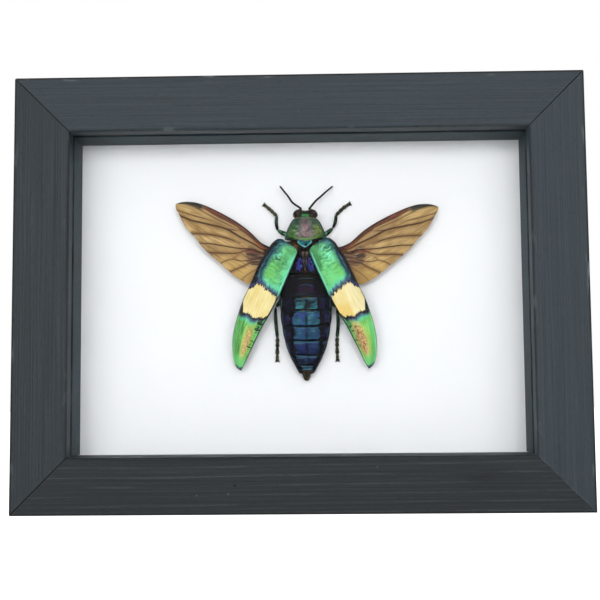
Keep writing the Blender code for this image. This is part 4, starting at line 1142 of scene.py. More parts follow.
def head_shell():
    """The head between the eyes: green, with a dark blue notch in front."""
    f = Finish("head_shell")
    u, v = f.plan()
    fine = f.grain(3.4, 4.0, 0.7)
    color = f.mix(tint(14, 56, 40), tint(78, 168, 82), fine.step(0.4, 0.6))
    color = f.coats(color, (
        (70, 60, 40, v.step(8.3, 8.0) * fine.step(0.6, 0.45) * 0.7),
        (10, 34, 42, abs(u).step(0.6, 1.3)),
        (4, 7, 16, (v + (fine - 0.5) * 0.6).step(8.55, 8.8) * 0.98),
        (10, 18, 18, f.value("up").step(0.1, -0.2)),
    ))
    return f.surface(color, 0.3 + fine * 0.2, metallic=0.4, gloss=0.2, normal=f.bump(fine, 0.08, 0.8))


def eye_shell():
    """Glossy dried eye: dark brown with an olive rim and a paler fold, and a fine mesh of facets."""
    f = Finish("eye_shell")
    rim, lower = f.values("rim", "lower")
    cloud = f.grain(1.3, 4.0, 0.6)
    facets = f.spots(9.0, 0.25)
    ring = rim + (cloud - 0.5) * 0.16
    color = f.mix(tint(34, 22, 14), tint(16, 11, 8), cloud.step(0.4, 0.65))
    color = f.coats(color, (
        (92, 72, 44, ring.hump(0.86, 0.09) * 0.85),
        (12, 12, 9, ring.step(0.93, 1.0) * 0.9),
        (112, 98, 84, lower * cloud.step(0.35, 0.6) * 0.7),
    ))
    return f.surface(color, 0.2 + cloud * 0.12, gloss=0.3, normal=f.bump(facets, 0.02, 0.3))


def wing_membrane():
    """Amber membrane with brown veins, a rusty front edge, a crumpled base and a smoky tip."""
    f = Finish("wing_membrane")
    s, t = f.values("along", "across")
    vein, fold, seed, halo = f.values("vein", "fold", "seed", "halo")
    broad = f.noise((s * 0.16, t * 3.2, seed), 3.0)
    streak = f.noise((s * 0.12 - t * 2.0, t * 24.0 + s * 0.35, seed), 4.0, 0.6)
    fine = f.grain(3.0, 4.0, 0.7)
    color = f.mix(tint(140, 104, 54), tint(232, 198, 132), (broad * 0.6 + streak * 0.7).step(0.48, 0.82))
    color = f.coats(color, (
        (104, 72, 42, t.step(0.62, 0.74) * s.step(22.0, 16.0) * streak.step(0.35, 0.6) * 0.5),
        (214, 174, 90, t.step(0.5, 0.15) * s.step(14.0, 6.0) * (0.2 + broad * 0.8)),
        (142, 102, 48, s.step(5.0, 0.0) * 0.75),
        (116, 72, 42, s.step(13.0, 4.0) * t.step(0.4, 0.58) * streak.step(0.6, 0.35) * 0.5),
        # Painted shade in low folds, painted highlights on high folds, and painted shade beside the veins
        (128, 90, 42, (fold + (streak - 0.5) * 0.1).step(-0.02, -0.1) * 0.75),
        (232, 202, 142, (fold + (streak - 0.5) * 0.08).step(0.05, 0.15) * 0.5),
        (124, 84, 44, halo * (0.25 + streak * 0.7)),
    ))

    # Crumpled base: dark, pale and rusty strands that run outward and back
    across_strands = t * 12.0 + s * 0.5
    strand = f.noise((s * 0.3, across_strands * 1.25, seed + 1.0), 4.0, 0.65, 0.6)
    knot = (t + (strand - 0.5) * 0.2).hump(0.64, 0.16) * (s + (strand - 0.5) * 3.0).step(7.6, 4.2)
    knot = knot.most(s.step(2.4, 0.8) * t.step(0.5, 0.7))
    rusty_strand = (across_strands + strand * 0.6).hump(10.9, 0.4) * s.step(3.0, 5.0) * s.step(9.0, 6.5)
    color = f.coats(color, (
        (84, 56, 40, knot.step(0.1, 0.6) * 0.8),
        (34, 19, 15, knot.step(0.1, 0.4) * strand.step(0.46, 0.54) * 0.95),
        (184, 164, 140, knot.step(0.3, 0.7) * strand.step(0.4, 0.34) * 0.6),
        (146, 74, 50, rusty_strand * strand.step(0.36, 0.5) * 0.75),
    ))

    # Veins, and the thick front edge with its red brown streaks
    edge = t - s.curve(FRONT_EDGE, 1.0, 30.0)
    costal = edge.step(-0.008, 0.012) * s.step(24.0, 21.5)
    lines = f.noise((s * 0.25, t * 60.0, seed + 3.0), 3.0, 0.6)
    rusty = f.mix(tint(134, 58, 32), tint(30, 13, 10), (lines * 0.8 + fine * 0.3).step(0.5, 0.66))
    under_edge = edge.hump(-0.03, 0.03) * s.step(12.0, 8.0)
    color = f.coats(color, (
        (100, 64, 36, vein.step(0.05, 0.5) * 0.75),
        (40, 20, 12, vein.step(0.3, 1.05) * (1.0 - s.step(14.0, 28.0) * 0.35)),
        (136, 82, 42, under_edge * 0.8),
        (52, 26, 17, under_edge * lines.step(0.5, 0.62) * 0.9),
    ))
    rusty = f.coats(rusty, (
        (28, 12, 9, edge.hump(0.045, 0.01) * s.step(5.0, 9.0) * 0.85),
        (162, 78, 44, edge.hump(0.022, 0.008) * streak.step(0.35, 0.6) * 0.7),
    ))
    color = f.mix(color, rusty, costal * 0.95)
    smoke = s.step(21.5, 23.2) * (t + (broad - 0.5) * 0.16).step(0.74, 0.9)
    color = f.coats(color, (
        (34, 17, 13, t.step(0.8, 0.88) * s.step(5.0, 1.0) * streak.step(0.6, 0.45) * 0.85),
        (26, 12, 9, edge.hump(0.0, 0.014) * s.step(23.5, 21.0) * s.step(4.0, 7.0) * 0.95),
        (14, 13, 12, smoke * 0.97),
        (24, 12, 9, t.step(0.955, 0.98) * 0.9),
        (88, 58, 34, t.step(0.012, 0.004) * 0.6),
    ))
    clear = (1.0 - vein.step(0.05, 0.5)) * (1.0 - costal) * (1.0 - smoke) * (1.0 - knot * 0.8)
    return f.surface(
        color, 0.38 + streak * 0.16,
        gloss=0.25,
        normal=f.bump(streak * 0.6 + fine * 0.2 + strand * knot, 0.1, 0.6),
        thin=(clear * 0.25, (0.5, 0.33, 0.13, 1.0)),
    )


def leg_shell():
    """Nearly black limb shell with green glints and pale dust in its joints."""
    f = Finish("leg_shell")
    foot, shine = f.values("foot", "shine")
    cloud = f.grain(0.9, 3.0)
    fine = f.grain(4.0, 4.0, 0.7)
    color = f.mix(tint(3, 4, 4), tint(8, 16, 14), cloud.step(0.35, 0.65))
    color = f.coats(color, (
        (96, 178, 122, shine * (cloud * 0.7 + fine * 0.5).step(0.56, 0.7)),
        (112, 104, 70, foot * fine.step(0.5, 0.6) * 0.75),
    ))
    return f.surface(color, 0.26 + fine * 0.25, metallic=0.4, gloss=0.12, normal=f.bump(fine, 0.06, 0.8))


def pale_floor(look):
    """Seamless studio floor, which shines plain white towards the camera."""
    f = Finish("pale_floor")
    seen = f.node("LightPath", {}, {}, output="Is Camera Ray")
    return f.close(f.node("BsdfPrincipled", {}, {
        "Base Color": f.mix(tuple(look.floor) + (1.0,), (0.94, 0.94, 0.94, 1.0), f.grain(0.004, 2.0)),
        "Roughness": 0.9,
        "Specular IOR Level": 0.1,
        "Emission Color": f.mix((0.0, 0.0, 0.0, 1.0), (1.0, 1.0, 1.0, 1.0), seen),
        "Emission Strength": look.floor_glow,
    }))


# Frame

def rail_section():
    """Outline of the moulding: distance in from the outer edge, depth, outward normal, and kind of face."""
    points = []

    def line(start, end, steps, normal, kind):
        for share in np.arange(steps) / steps:
            points.append((*between(np.array((start, end)), share), *normal, kind))

    def corner(center, radius, first, last, steps):
        for share in np.arange(steps) / steps:
            angle = math.radians(between((first, last), share))
            across, deep = math.cos(angle), math.sin(angle)
            points.append((center[0] + radius * across, center[1] + radius * deep, across, deep, 0))

    outer, inner, back = OUTER_ROUNDING, INNER_ROUNDING, BACK_ROUNDING
    wall = FACE_WIDTH - RABBET_WIDTH
    corner((outer, outer), outer, 180, 270, 7)
    line((outer, 0), (FACE_WIDTH - inner, 0), 64, (0, -1), 1)
    corner((FACE_WIDTH - inner, inner), inner, 270, 360, 6)
    line((FACE_WIDTH, inner), (FACE_WIDTH, LIP_THICKNESS), 6, (1, 0), 0)
    line((FACE_WIDTH, LIP_THICKNESS), (wall, LIP_THICKNESS), 1, (0, 1), 0)
    line((wall, LIP_THICKNESS), (wall, FRAME_DEPTH), 2, (1, 0), 0)
    line((wall, FRAME_DEPTH), (back, FRAME_DEPTH), 14, (0, 1), 1)
    corner((back, FRAME_DEPTH - back), back, 90, 180, 4)
    line((0, FRAME_DEPTH - back), (0, outer), 36, (-1, 0), 1)
    return np.array(points)


def grain_relief(along, around, comb, seed):
    """How far the wood is worn down, and how much of a hard grain line and of the knot each point is."""
    wander = 0.24 * noise(along / 38, around / 9, seed) + 0.1 * noise(along / 9, around / 3, seed + 1)
    turn = (around - GRAIN_START - GRAIN_SLOPE * along + wander) / GRAIN_PITCH
    away = np.abs(turn - np.round(turn)) * GRAIN_PITCH
    from_knot = np.hypot((along - KNOT_PLACE[0]) / KNOT_REACH[0], (around - KNOT_PLACE[1]) / KNOT_REACH[1])
    knot = comb * (comb > 0.5) * hump(from_knot, 0.0, 1.0)
    strength = 0.15 + 0.85 * step_up(-0.5, 0.6, noise(along / 11, np.round(turn) * 1.7, seed + 2))
    faint = np.abs(turn + 0.5 - np.round(turn + 0.5)) * GRAIN_PITCH
    faint = 0.35 * hump(faint + 0.2 * noise(along / 12, around * 2, seed + 5), 0.0, 0.12) * (1 - strength)
    combed = np.maximum(hump(away, 0.0, 0.17) * strength, faint) * (1 - 0.9 * knot)
    growth = noise(along / 60, around * 1.5 + 0.3 * noise(along / 22, around / 2, seed), seed + 3)
    fine_lines = hump(growth, 0.0, 0.1)
    ridge = comb * combed + (1 - comb) * 0.3 * fine_lines
    worn = (WIDE_WEAR * comb + EVEN_WEAR) * (1 - ridge)
    worn = worn + 0.008 * (1 + noise(along / 5, around * 4, seed + 4))
    return worn, ridge, knot


def build_rail(side, look, finish):
    """One mitred rail, its faces worn along the grain."""
    section = rail_section()
    inward, depth, normal_in, normal_deep, worn_face = section.T
    long_side = side in ("top", "bottom")
    seed = 11 * list(RAIL_STEPS).index(side)
    comb = look.comb_bottom if side == "bottom" else look.comb_rest
    half = (FRAME_WIDTH if long_side else FRAME_HEIGHT) / 2
    share = np.linspace(-1, 1, RAIL_STEPS[side])[:, None]
    around = inward - depth
    length = share * half
    worn, ridge, knot = grain_relief(length, around[None, :], comb, seed)
    front_fade = rise_from_ends(inward, OUTER_ROUNDING, FACE_WIDTH - INNER_ROUNDING, 0.8)
    fade = np.minimum(1.0, front_fade + (depth > 0.01))
    sink = worn * worn_face * fade * look.grain_depth / MM / FULL_WEAR
    cut_in = inward - normal_in * sink
    cut_deep = depth - normal_deep * sink
    tight_end = TIGHT_MITRES.get(side, 0)
    open_gap = np.where(share * tight_end > 0, MITRE_CONTACT, MITRE_GAP)
    gap = between((open_gap, MITRE_CONTACT), step_up(0.2, 0.9, depth)) / math.sqrt(2)
    reach = share * (half - cut_in - gap)
    x_side = {"left": -FRAME_WIDTH / 2 + cut_in, "right": FRAME_WIDTH / 2 - cut_in}
    z_side = {"top": FRAME_HEIGHT - cut_in, "bottom": cut_in}
    x = reach if long_side else x_side[side]
    z = z_side[side] if long_side else FRAME_HEIGHT / 2 + reach
    # Nearness to the rounded edges, where the wood gets painted shade and a painted highlight
    outer_edge = hump(np.hypot(inward, depth), 0.0, 1.0)
    edge = np.maximum(outer_edge, 0.6 * hump(np.hypot(inward - FACE_WIDTH, depth), 0.0, 0.8))
    # tone carries the rail's painted light level
    values = {
        "along": length, "around": around, "ridge": ridge * worn_face, "knot": knot, "edge": edge,
        "seed": seed, "tone": RAIL_LIGHT_LEVELS[side],
        "joint": (1 - share * tight_end) * (half - cut_in) + 99 * (tight_end == 0),
    }
    upright = Matrix.Identity(4)
    shells = [skin(stack(x, FRONT_Y + cut_deep, z), values)]
    make_piece(
        f"rail_{side}_worn", shells, [finish], [f"rail_{side}"], upright, crease=38)


# Beetle

def body_rings(stations, places, sides):
    """Oval sections of the body, as arrays over all points."""
    half, top, middle, bottom = smooth_columns(stations, places)[:, :, None]
    angle = np.linspace(0, 2 * math.pi, sides, endpoint=False)[None, :]
    across = np.sign(np.cos(angle)) * np.abs(np.cos(angle)) ** (2 / OVAL_POWER)
    up = np.sign(np.sin(angle)) * np.abs(np.sin(angle)) ** (2 / OVAL_POWER)
    u = across * half
    h = middle + up * np.where(up > 0, top - middle, middle - bottom)
    return np.broadcast_arrays(u, places[:, None], h, across, up)


def build_prothorax(look, finish):
    """The shield behind the head, with its pits, dents and lipped rear edge."""
    front, rear = ends(PROTHORAX_STATIONS)
    places = end_spaced(front, rear, PROTHORAX_STEPS[0])
    u, v, h, across, up = body_rings(PROTHORAX_STATIONS, places, PROTHORAX_STEPS[1])
    rearward = np.clip((REAR_EDGE_START - v) / (REAR_EDGE_START - rear), 0, 1) ** 2
    sideward = np.minimum(1.0, np.abs(u) / REAR_EDGE_HALF_WIDTH) ** 1.5
    on_top = step_up(0.15, 0.6, up)
    pitted = step_up(0.36, 0.62, np.abs(across) + 0.12 * layered(u, v, 2, 9))
    pit = hump(nearest_spot(u, v, PIT_SPACING, 5), 0.0, 0.12) * pitted * on_top
    relief = -0.1 * pit
    relief -= 0.05 * hump(u, 0.0, 0.3) * step_up(2.4, 3.2, v) * step_up(6.9, 6.0, v)
    for dent_u, dent_v, wide in SHIELD_DENTS:
        relief -= DENT_DEPTH * np.exp(-((u - dent_u) ** 2 / 2 + (v - dent_v) ** 2) / wide**2)
    relief += 0.07 * layered(u * 0.9, v * 0.9, 4, 2)
    relief += 0.1 * hump(v, 1.35, 0.22) - 0.1 * hump(v, 1.9, 0.25)
    relief -= 0.12 * step_up(1.2, 1.0, v) + 0.12 * step_up(7.55, 7.75, v)
    relief += 0.05 * hump(v, 7.3, 0.15)
    h = h + relief * on_top * look.relief
    # Slope of the relief, used to paint shade and highlights
    lit = -np.gradient(relief, places, axis=0) * on_top * step_up(2.0, 2.4, v)
    values = {"across": across, "up": up, "pit": pit, "lit": lit, "back": v}
    v = v + REAR_EDGE_SWEEP * rearward * sideward
    make_piece("prothorax_shield", [skin(stack(u, v, h), values)], [finish], ["prothorax"])


def build_thorax(finish):
    """The thorax with its small shield, middle ridge, wing sockets and membrane."""
    places = end_spaced(*ends(THORAX_STATIONS), THORAX_STEPS[0])
    u, v, h, _, up = body_rings(THORAX_STATIONS, places, THORAX_STEPS[1])
    on_top = step_up(0.3, 0.7, up)
    behind = np.clip((SHIELD_FRONT - v) / SHIELD_LENGTH, 0, 1)
    shield_half = SHIELD_HALF_WIDTH * (1 - behind**1.45)
    wide = np.abs(u - THORAX_MIDDLE)
    inside = np.minimum(shield_half - wide, (v - (SHIELD_FRONT - SHIELD_LENGTH)) * 0.9)
    shield = step_up(-0.12, 0.12, inside)
    dome = step_up(0.0, 0.9, inside)
    relief = shield * SHIELD_RISE + 0.06 * dome - 0.08 * hump(inside, 0.18, 0.1)
    fork = wide - 0.1 - 0.13 * np.maximum(v + 6.6, 0.0)
    middle = step_up(-1.5, -2.1, v) * step_up(-7.3, -6.7, v)
    inner = step_up(0.05, -0.1, fork)
    ridge = np.maximum(hump(fork, 0.0, 0.12), 0.4 * inner * step_up(0.05, 0.2, wide)) * middle
    relief += ridge * 0.3 * (1 - shield)
    patch = step_up(1.05, 0.8, np.hypot((wide - 1.5 + 0.15 * (v + 5.0)) / 0.9, (v + 5.4) / 2.1))
    patch = patch * step_up(0.15, 0.45, fork)
    relief += patch * (0.12 + 0.16 * layered(u * 2.2, v * 2.2, 3, 4))
    for side, outward in OUTWARD.items():
        hinge_x, hinge_y = ELYTRON_HINGE[side]
        away = np.hypot(u - hinge_x + outward * SOCKET_INWARD, v - hinge_y + SOCKET_REARWARD)
        relief = np.maximum(relief, 1.2 * hump(away, 0.0, 0.95))
    relief += (1 - shield) * 0.14 * layered(u * 1.6, v * 1.6, 3, 7) * step_up(-7.6, -7.0, v)
    relief -= 0.12 * hump(np.hypot(u - PIN_X, v), 0.0, 0.34)
    h = h + relief * on_top
    values = {
        "shield": shield * on_top * (0.35 + 0.65 * dome), "ridge": ridge * (1 - shield), "up": up,
        "patch": patch * on_top,
    }
    make_piece("thorax_back", [skin(stack(u, v, h), values)], [finish], ["thorax"])


def build_abdomen(finish):
    """The hind body: tiled back plates, each with two raised middle panels and lumpy flanks."""
    front, rear = ends(ABDOMEN_STATIONS)
    places = np.linspace(front, rear, ABDOMEN_STEPS[0])
    for edge in TERGITE_EDGES:
        places = places[np.abs(places - edge) > 0.16]
    extra = [edge + away for edge in TERGITE_EDGES for away in (0.1, 0.0, -0.06, -0.14)]
    places = np.array(sorted({*places.tolist(), *extra}, reverse=True))
    u, v, h, across, up = body_rings(ABDOMEN_STATIONS, places, ABDOMEN_STEPS[1])
    bounds = np.array([front, *TERGITE_EDGES, rear])
    number = np.clip(np.searchsorted(-bounds, -places, side="left") - 1, 0, len(bounds) - 2)
    length = bounds[number] - bounds[number + 1]
    plate = np.clip((bounds[number] - places) / length, 0, 1)[:, None]
    from_front, from_rear = plate * length[:, None], (1 - plate) * length[:, None]
    (panel_half,) = smooth_columns(PANEL_WIDTHS, v)
    wide, half_side = np.abs(u - BACK_MIDDLE), np.sign(u - BACK_MIDDLE)
    on_top = step_up(0.2, 0.55, up)
    back = step_up(-12.5, -15.0, v)
    uneven = 0.3 * noise(v * 0.9, half_side * 3.0, 17) + 0.2 * noise(v * 2.6, half_side * 5.0, 21)
    row = np.round(v / 4.0) * 3.0
    ragged = 0.22 * noise(u * 1.1, row, 23) + 0.12 * noise(u * 3.0, row, 25)
    depth = np.maximum(0.95 + ragged - np.minimum(from_front, from_rear + 0.4), 0)
    corner = np.hypot(np.maximum(wide - panel_half + 0.75 + uneven, 0), depth)
    panel = step_up(0.86, 0.4, corner) * on_top
    arch = np.sin(plate * math.pi)
    gap = np.maximum(hump(from_front, 0.0, 0.2), 0.8 * hump(from_rear, 0.0, 0.12))
    gap = gap * step_up(-13.6, -14.1, v) * step_up(panel_half + 0.6, panel_half - 0.1, wide)
    gap = gap * step_up(-33.6, -33.0, v)
    inward = step_up(panel_half + 1.0, panel_half + 0.2, wide)
    relief = TERGITE_STEP * plate * (0.1 + 0.9 * back) * (0.4 + 0.6 * inward) + 0.2 * panel * back
    relief -= 0.14 * hump(wide, panel_half + 0.35, 0.2) * back
    relief -= 0.22 * hump(wide, 0.0, 0.2) * back * step_up(-32.0, -30.5, v)
    relief += 0.22 * np.sin(np.clip(wide / panel_half, 0, 1) * math.pi) * arch * back
    relief -= 0.16 * gap
    wrinkles = noise(u * 0.6, v * 3.0, 3) + 0.6 * noise(u * 1.0, v * 5.4, 4)
    relief += (0.025 + 0.012 * step_up(-24.0, -27.0, v)) * wrinkles * panel
    chevron = hump(v + 10.7 + wide * 0.55 - 0.1 * wide**2, 0.0, 0.2)
    chevron = chevron * step_up(2.2, 1.2, wide) * step_up(0.0, 0.5, wide)
    arc = hump(v + 9.2 + 0.05 * u * u, 0.0, 0.16) * step_up(2.6, 1.2, wide)
    relief += 0.22 * chevron + 0.2 * arc
    flank = step_up(panel_half + 0.3, panel_half + 1.0, wide)
    lumps = 0.18 * noise(u * 1.3, v * 1.5, 12) * noise(u * 2.9, v * 2.3, 13)
    relief += flank * (0.16 * layered(u * 0.9, v * 0.9, 3, 6) + lumps)
    knob = hump(wide + 0.5 * noise(v * 0.7, wide * 0.7, 19), panel_half + 1.6, 0.6)
    knob = knob * hump(plate, 0.5, 0.34) * back
    relief += 0.14 * knob - 0.14 * hump(wide, panel_half + 2.4, 0.3) * back
    # Raised side margin, also painted as a highlight line
    margin = hump(np.abs(across), 0.95 - 0.03 * arch, 0.014) * step_up(0.1, 0.4, arch) * back
    relief += 0.2 * margin
    tail = step_up(-33.7, -34.1, v) * step_up(1.6, 1.3, wide)
    relief += 0.25 * tail * step_up(rear, rear + 2.0, v)
    h = h + relief * on_top * np.minimum(1.0, (v - rear) / 2.0 + 0.1)
    u = u * (1 + 0.018 * arch * step_up(0.6, 0.95, np.abs(across)))
    # Slope of the relief, used to paint shade and highlights
    lit = -np.gradient(relief, places, axis=0) * on_top
    sag = 0.4 * across**2 + 0.1 * noise(u * 0.8, v * 0.25, 27) + 0.05 * noise(u * 2.2, v * 0.4, 29)
    v = v + sag * on_top * step_up(-8.5, -12.0, v) * step_up(-34.0, -28.0, v)
    values = {
        "panel": panel, "plate": plate, "up": up, "gap": gap * on_top, "chevron": chevron * on_top,
        "arc": arc * on_top, "margin": margin * on_top, "knob": knob * on_top, "lit": lit,
    }
    make_piece("abdomen_plates", [skin(stack(u, v, h), values)], [finish], ["abdomen"])


def build_head(shell_finish, eye_finish):
    """Head capsule with two large eyes that lean towards each other in front."""
    places = end_spaced(*ends(HEAD_STATIONS), HEAD_STEPS[0])
    u, v, h, _, up = body_rings(HEAD_STATIONS, places, HEAD_STEPS[1])
    on_top = step_up(0.1, 0.6, up)
    relief = 0.08 * layered(u * 2.4, v * 2.4, 3, 8) - 0.2 * hump(u, 0.0, 0.2) * step_up(8.4, 9.2, v)
    relief -= 0.3 * hump(u, 0.0, 0.55) * step_up(9.2, 9.7, v)
    h = h + relief * on_top
    shells = [skin(stack(u, v, h), {"up": up})]
    tall = np.linspace(EYE_POLE, math.pi - EYE_POLE, EYE_STEPS[0])[:, None]
    turn = np.linspace(0, 2 * math.pi, EYE_STEPS[1], endpoint=False)[None, :]
    ball = stack(np.sin(tall) * np.cos(turn), np.sin(tall) * np.sin(turn), np.cos(tall))
    x, y = ball[..., 0], ball[..., 1]
    for sign in (-1, 1):
        lower = hump(np.hypot((x * sign + 0.4) * 0.8, (y + 0.55) * 1.3), 0.0, 0.3)
        points = np.array(EYE_PLACE) * (sign, 1, 1) + ball * EYE_RADII
        points[..., 0] -= sign * EYE_LEAN * y
        shells.append(skin(points, {"rim": np.hypot(x, y), "lower": lower}, finish=1))
    make_piece("head_and_eyes", shells, [shell_finish, eye_finish], ["head"])


def side_place(hinge, angle, outward):
    """Place of a wing or wing case: its base on the beetle, turned about the card's normal."""
    turn = Matrix.Rotation(math.radians(outward * angle), 4, "Z")
    return BEETLE_PLACE @ Matrix.Translation(Vector((*hinge, 0)) * MM) @ turn


def wing_plan(stations, steps, heights):
    """Grid over a wing: places along and across, both edges, share of its length, and plain height."""
    start, end = ends(stations)
    places = end_spaced(start, end, steps[0])
    s, t = places[:, None], end_spaced(0, 1, steps[1])[None, :]
    near, far = smooth_columns(stations, places)[:, :, None]
    share = (s - start) / (end - start)
    height = between([between(pair, share) for pair in heights], t)
    return s, t, near, far, share, height


def build_wing_case(side, look, finish):
    """One hard wing case: arched, rimmed, wrinkled at the shoulder, finely ridged along its length."""
    outward = OUTWARD[side]
    start, end = ends(ELYTRON_STATIONS)
    s, t, inner, outer, share, h = wing_plan(ELYTRON_STATIONS, ELYTRON_STEPS, ELYTRON_HEIGHTS)
    w = inner + (outer - inner) * t
    fullness = between((0.25, 1.0), rise_from_ends(s, start, end, ELYTRON_END_REACH))
    h = h + between(ELYTRON_ARCH, share) * fullness * np.sin(math.pi * t) ** 0.8
    seed = 20 if side == "left" else 40
    to_edge = np.minimum(np.minimum(w - inner, outer - w), np.minimum(s - start, end - s) * 0.8)
    bend = 0.7 * noise(s / 2.6, w / 2.0, seed) + 0.3 * noise(s / 1.1, w / 0.9, seed + 8)
    folds = np.sin(2 * math.pi * ((s + 0.3 * w) / 1.5 + bend)) + 0.5 * noise(s * 1.3, w * 0.9, seed + 5)
    short = step_up(-0.4, 0.5, noise(s / 1.2, w / 1.1, seed + 1))
    reach = step_up(6.5, 4.0, s) + 0.35 * step_up(4.0, 6.5, s) * step_up(12.0, 9.0, s)
    wrinkled = step_up(0.3, 1.3, s) * reach * step_up(0.25, 0.5, t) * step_up(0.9, 0.72, t)
    wrinkles = wrinkled * (0.12 * folds * short + 0.08 * noise(s / 1.3, w / 1.2, seed + 9))
    broad = 0.1 * noise(s / 5.0, w / 2.2, seed + 2) + 0.05 * noise(s / 1.4, w / 1.1, seed + 3)
    if side == "right":
        wrinkles = wrinkles - 0.18 * hump(s + 0.25 * (w - 0.7), 3.1, 0.26) * hump(w, 0.7, 0.9)
    else:
        wrinkles = wrinkles - 0.15 * hump(s - 0.4 * (w - 1.1), 3.6, 0.28) * hump(w, 1.1, 0.5)
    wander = 0.22 * noise(s / 6.0, w / 2.0, seed + 4)
    stripes = 0.016 * np.cos(2 * math.pi * (w / 0.62 + wander)) * step_up(2.0, 6.0, s)
    pits = -0.02 * hump(nearest_spot(s, w, 0.3, seed), 0.0, 0.09)
    flaws = -0.12 * step_up(0.62, 0.8, noise(s * 1.5, w * 1.4, seed + 6)) * hump(t, 0.1, 0.07)
    flaws = flaws * step_up(21.5, 23.0, s) * step_up(33.0, 29.0, s)
    relief = wrinkles + broad + stripes + pits + flaws
    inside = step_up(0.0, 0.6, to_edge)
    rim = 0.07 * hump(to_edge, 0.3, 0.12) - 0.16 * hump(to_edge, 0.0, 0.13)
    rim = rim - 0.05 * hump(to_edge, 0.55, 0.14)
    h = h + relief * inside * look.relief + rim
    thickness = np.where(to_edge < 0.05, ELYTRON_EDGE_THICKNESS, ELYTRON_THICKNESS)
    # The wrinkle relief and its slope, used to paint shade and highlights on the case
    lit = np.gradient(wrinkles + broad + flaws, s[:, 0], axis=0) * inside
    values = {"along": s, "across": t, "relief": (wrinkles + flaws) * inside, "lit": lit}
    place = side_place(ELYTRON_HINGE[side], ELYTRON_ANGLE[side], outward)
    shells = [sheet(stack(outward * w, -s, h), thickness, values)]
    make_piece(f"wing_case_{side}", shells, [finish], [f"elytron_{side}"], place)


def distance_to_path(x, y, path):
    """Distance from each point to a path of straight stretches."""
    best = np.inf
    for (ax, ay), (bx, by) in zip(path, path[1:]):
        dx, dy = bx - ax, by - ay
        share = np.clip(((x - ax) * dx + (y - ay) * dy) / (dx * dx + dy * dy), 0, 1)
        best = np.minimum(best, np.hypot(x - ax - share * dx, y - ay - share * dy))
    return best


def smooth_route(points, count):
    """Points on a smooth curve through a route's own points."""
    table = np.array(points, float)
    lengths = np.linalg.norm(np.diff(table, axis=0), axis=1)
    knots = np.concatenate(([0.0], np.cumsum(lengths)))
    padded = np.concatenate((2 * table[:1] - table[1:2], table, 2 * table[-1:] - table[-2:-1]))
    places = np.linspace(0, knots[-1], count)
    i = np.clip(np.searchsorted(knots, places, side="right") - 1, 0, len(lengths) - 1)
    t = ((places - knots[i]) / lengths[i])[:, None]
    a, b, c, d = (padded[i + offset] for offset in range(4))
    return 0.5 * (2 * b + (c - a) * t + (2 * a - 5 * b + 4 * c - d) * t**2 + (3 * b - a - 3 * c + d) * t**3)


def build_wing(side, finish):
    """One membrane wing: folded along its veins, crumpled at its base, with a thick front edge."""
    outward = OUTWARD[side]
    start, end = ends(HINDWING_STATIONS)
    s, t, trail, lead, _, h = wing_plan(HINDWING_STATIONS, HINDWING_STEPS, HINDWING_HEIGHTS)
    seed = 60 if side == "left" else 80
    fray = 0.1 * noise(s * 1.1, 0, seed) + 0.06 * noise(s * 3.1, 0, seed + 1)
    fray = fray * step_up(3.0, 9.0, s) + 0.4 * hump(s, 21.0, 0.5) * (side == "left")
    w = trail + fray * (1 - t) ** 4 + (lead - trail) * t
    vein, fold, raised, halo = np.zeros((4, *w.shape))
    for half_width, fold_height, points in VEINS:
        route = []
        for along, across in smooth_route(points, 24):
            low, high = smooth_columns(HINDWING_STATIONS, [along])[:, 0]
            route.append((along, low + (high - low) * across))
        away = distance_to_path(s, w, route)
        fold += fold_height * np.exp(-away / 0.8)
        line = hump(away, 0.0, 0.03 + half_width * 1.15)
        first = min(point[0] for point in points)
        if first > VEIN_FADE_FROM:
            line = line * step_up(first - 0.5, first + VEIN_FADE, s)
        vein = np.maximum(vein, line * min(1.0, 0.5 + 3.8 * half_width))
        # A soft band beside each vein, painted as shade
        halo = np.maximum(halo, hump(away, 0.0, 0.25 + half_width * 3.2) * (0.4 + 3.0 * half_width))
        raised = np.maximum(raised, line * (0.05 + 0.5 * half_width))
    base = step_up(7.5, 1.5, s) * step_up(0.35, 0.6, t)
    crumple = 0.3 * layered(s * 0.9, w * 0.9, 3, seed + 3) * base
    costa = hump(lead - w, 0.15, 0.16)
    second = hump(lead - w, 0.85, 0.12) * step_up(24.0, 20.0, s)
    ribs = 0.02 * np.sin(s * 17.0 + t * 40.0) * step_up(0.85, 0.9, t) * step_up(24.0, 20.0, s)
    fine = 0.02 * noise(s * 0.5 + w * 0.8, w * 3.2 + s * 0.6, seed + 5)
    slack = 0.18 * noise(s / 7.0, w / 4.0, seed + 7)
    flat_end = rise_from_ends(s, start, end, 3.0)
    h = h + (fold + fine + slack) * flat_end + crumple + raised + 0.12 * costa + 0.06 * second + ribs
    thickness = 0.05 + 0.1 * vein + 0.2 * costa
    values = {"along": s, "across": t, "vein": vein, "fold": fold, "halo": halo, "seed": seed}
    shells = [sheet(stack(outward * s, w, h), thickness, values)]
    place = side_place(HINDWING_BASE[side], HINDWING_ANGLE[side], outward)
    make_piece(
        f"membrane_{side}", shells, [finish], [f"hindwing_{side}"], place, crease=60)


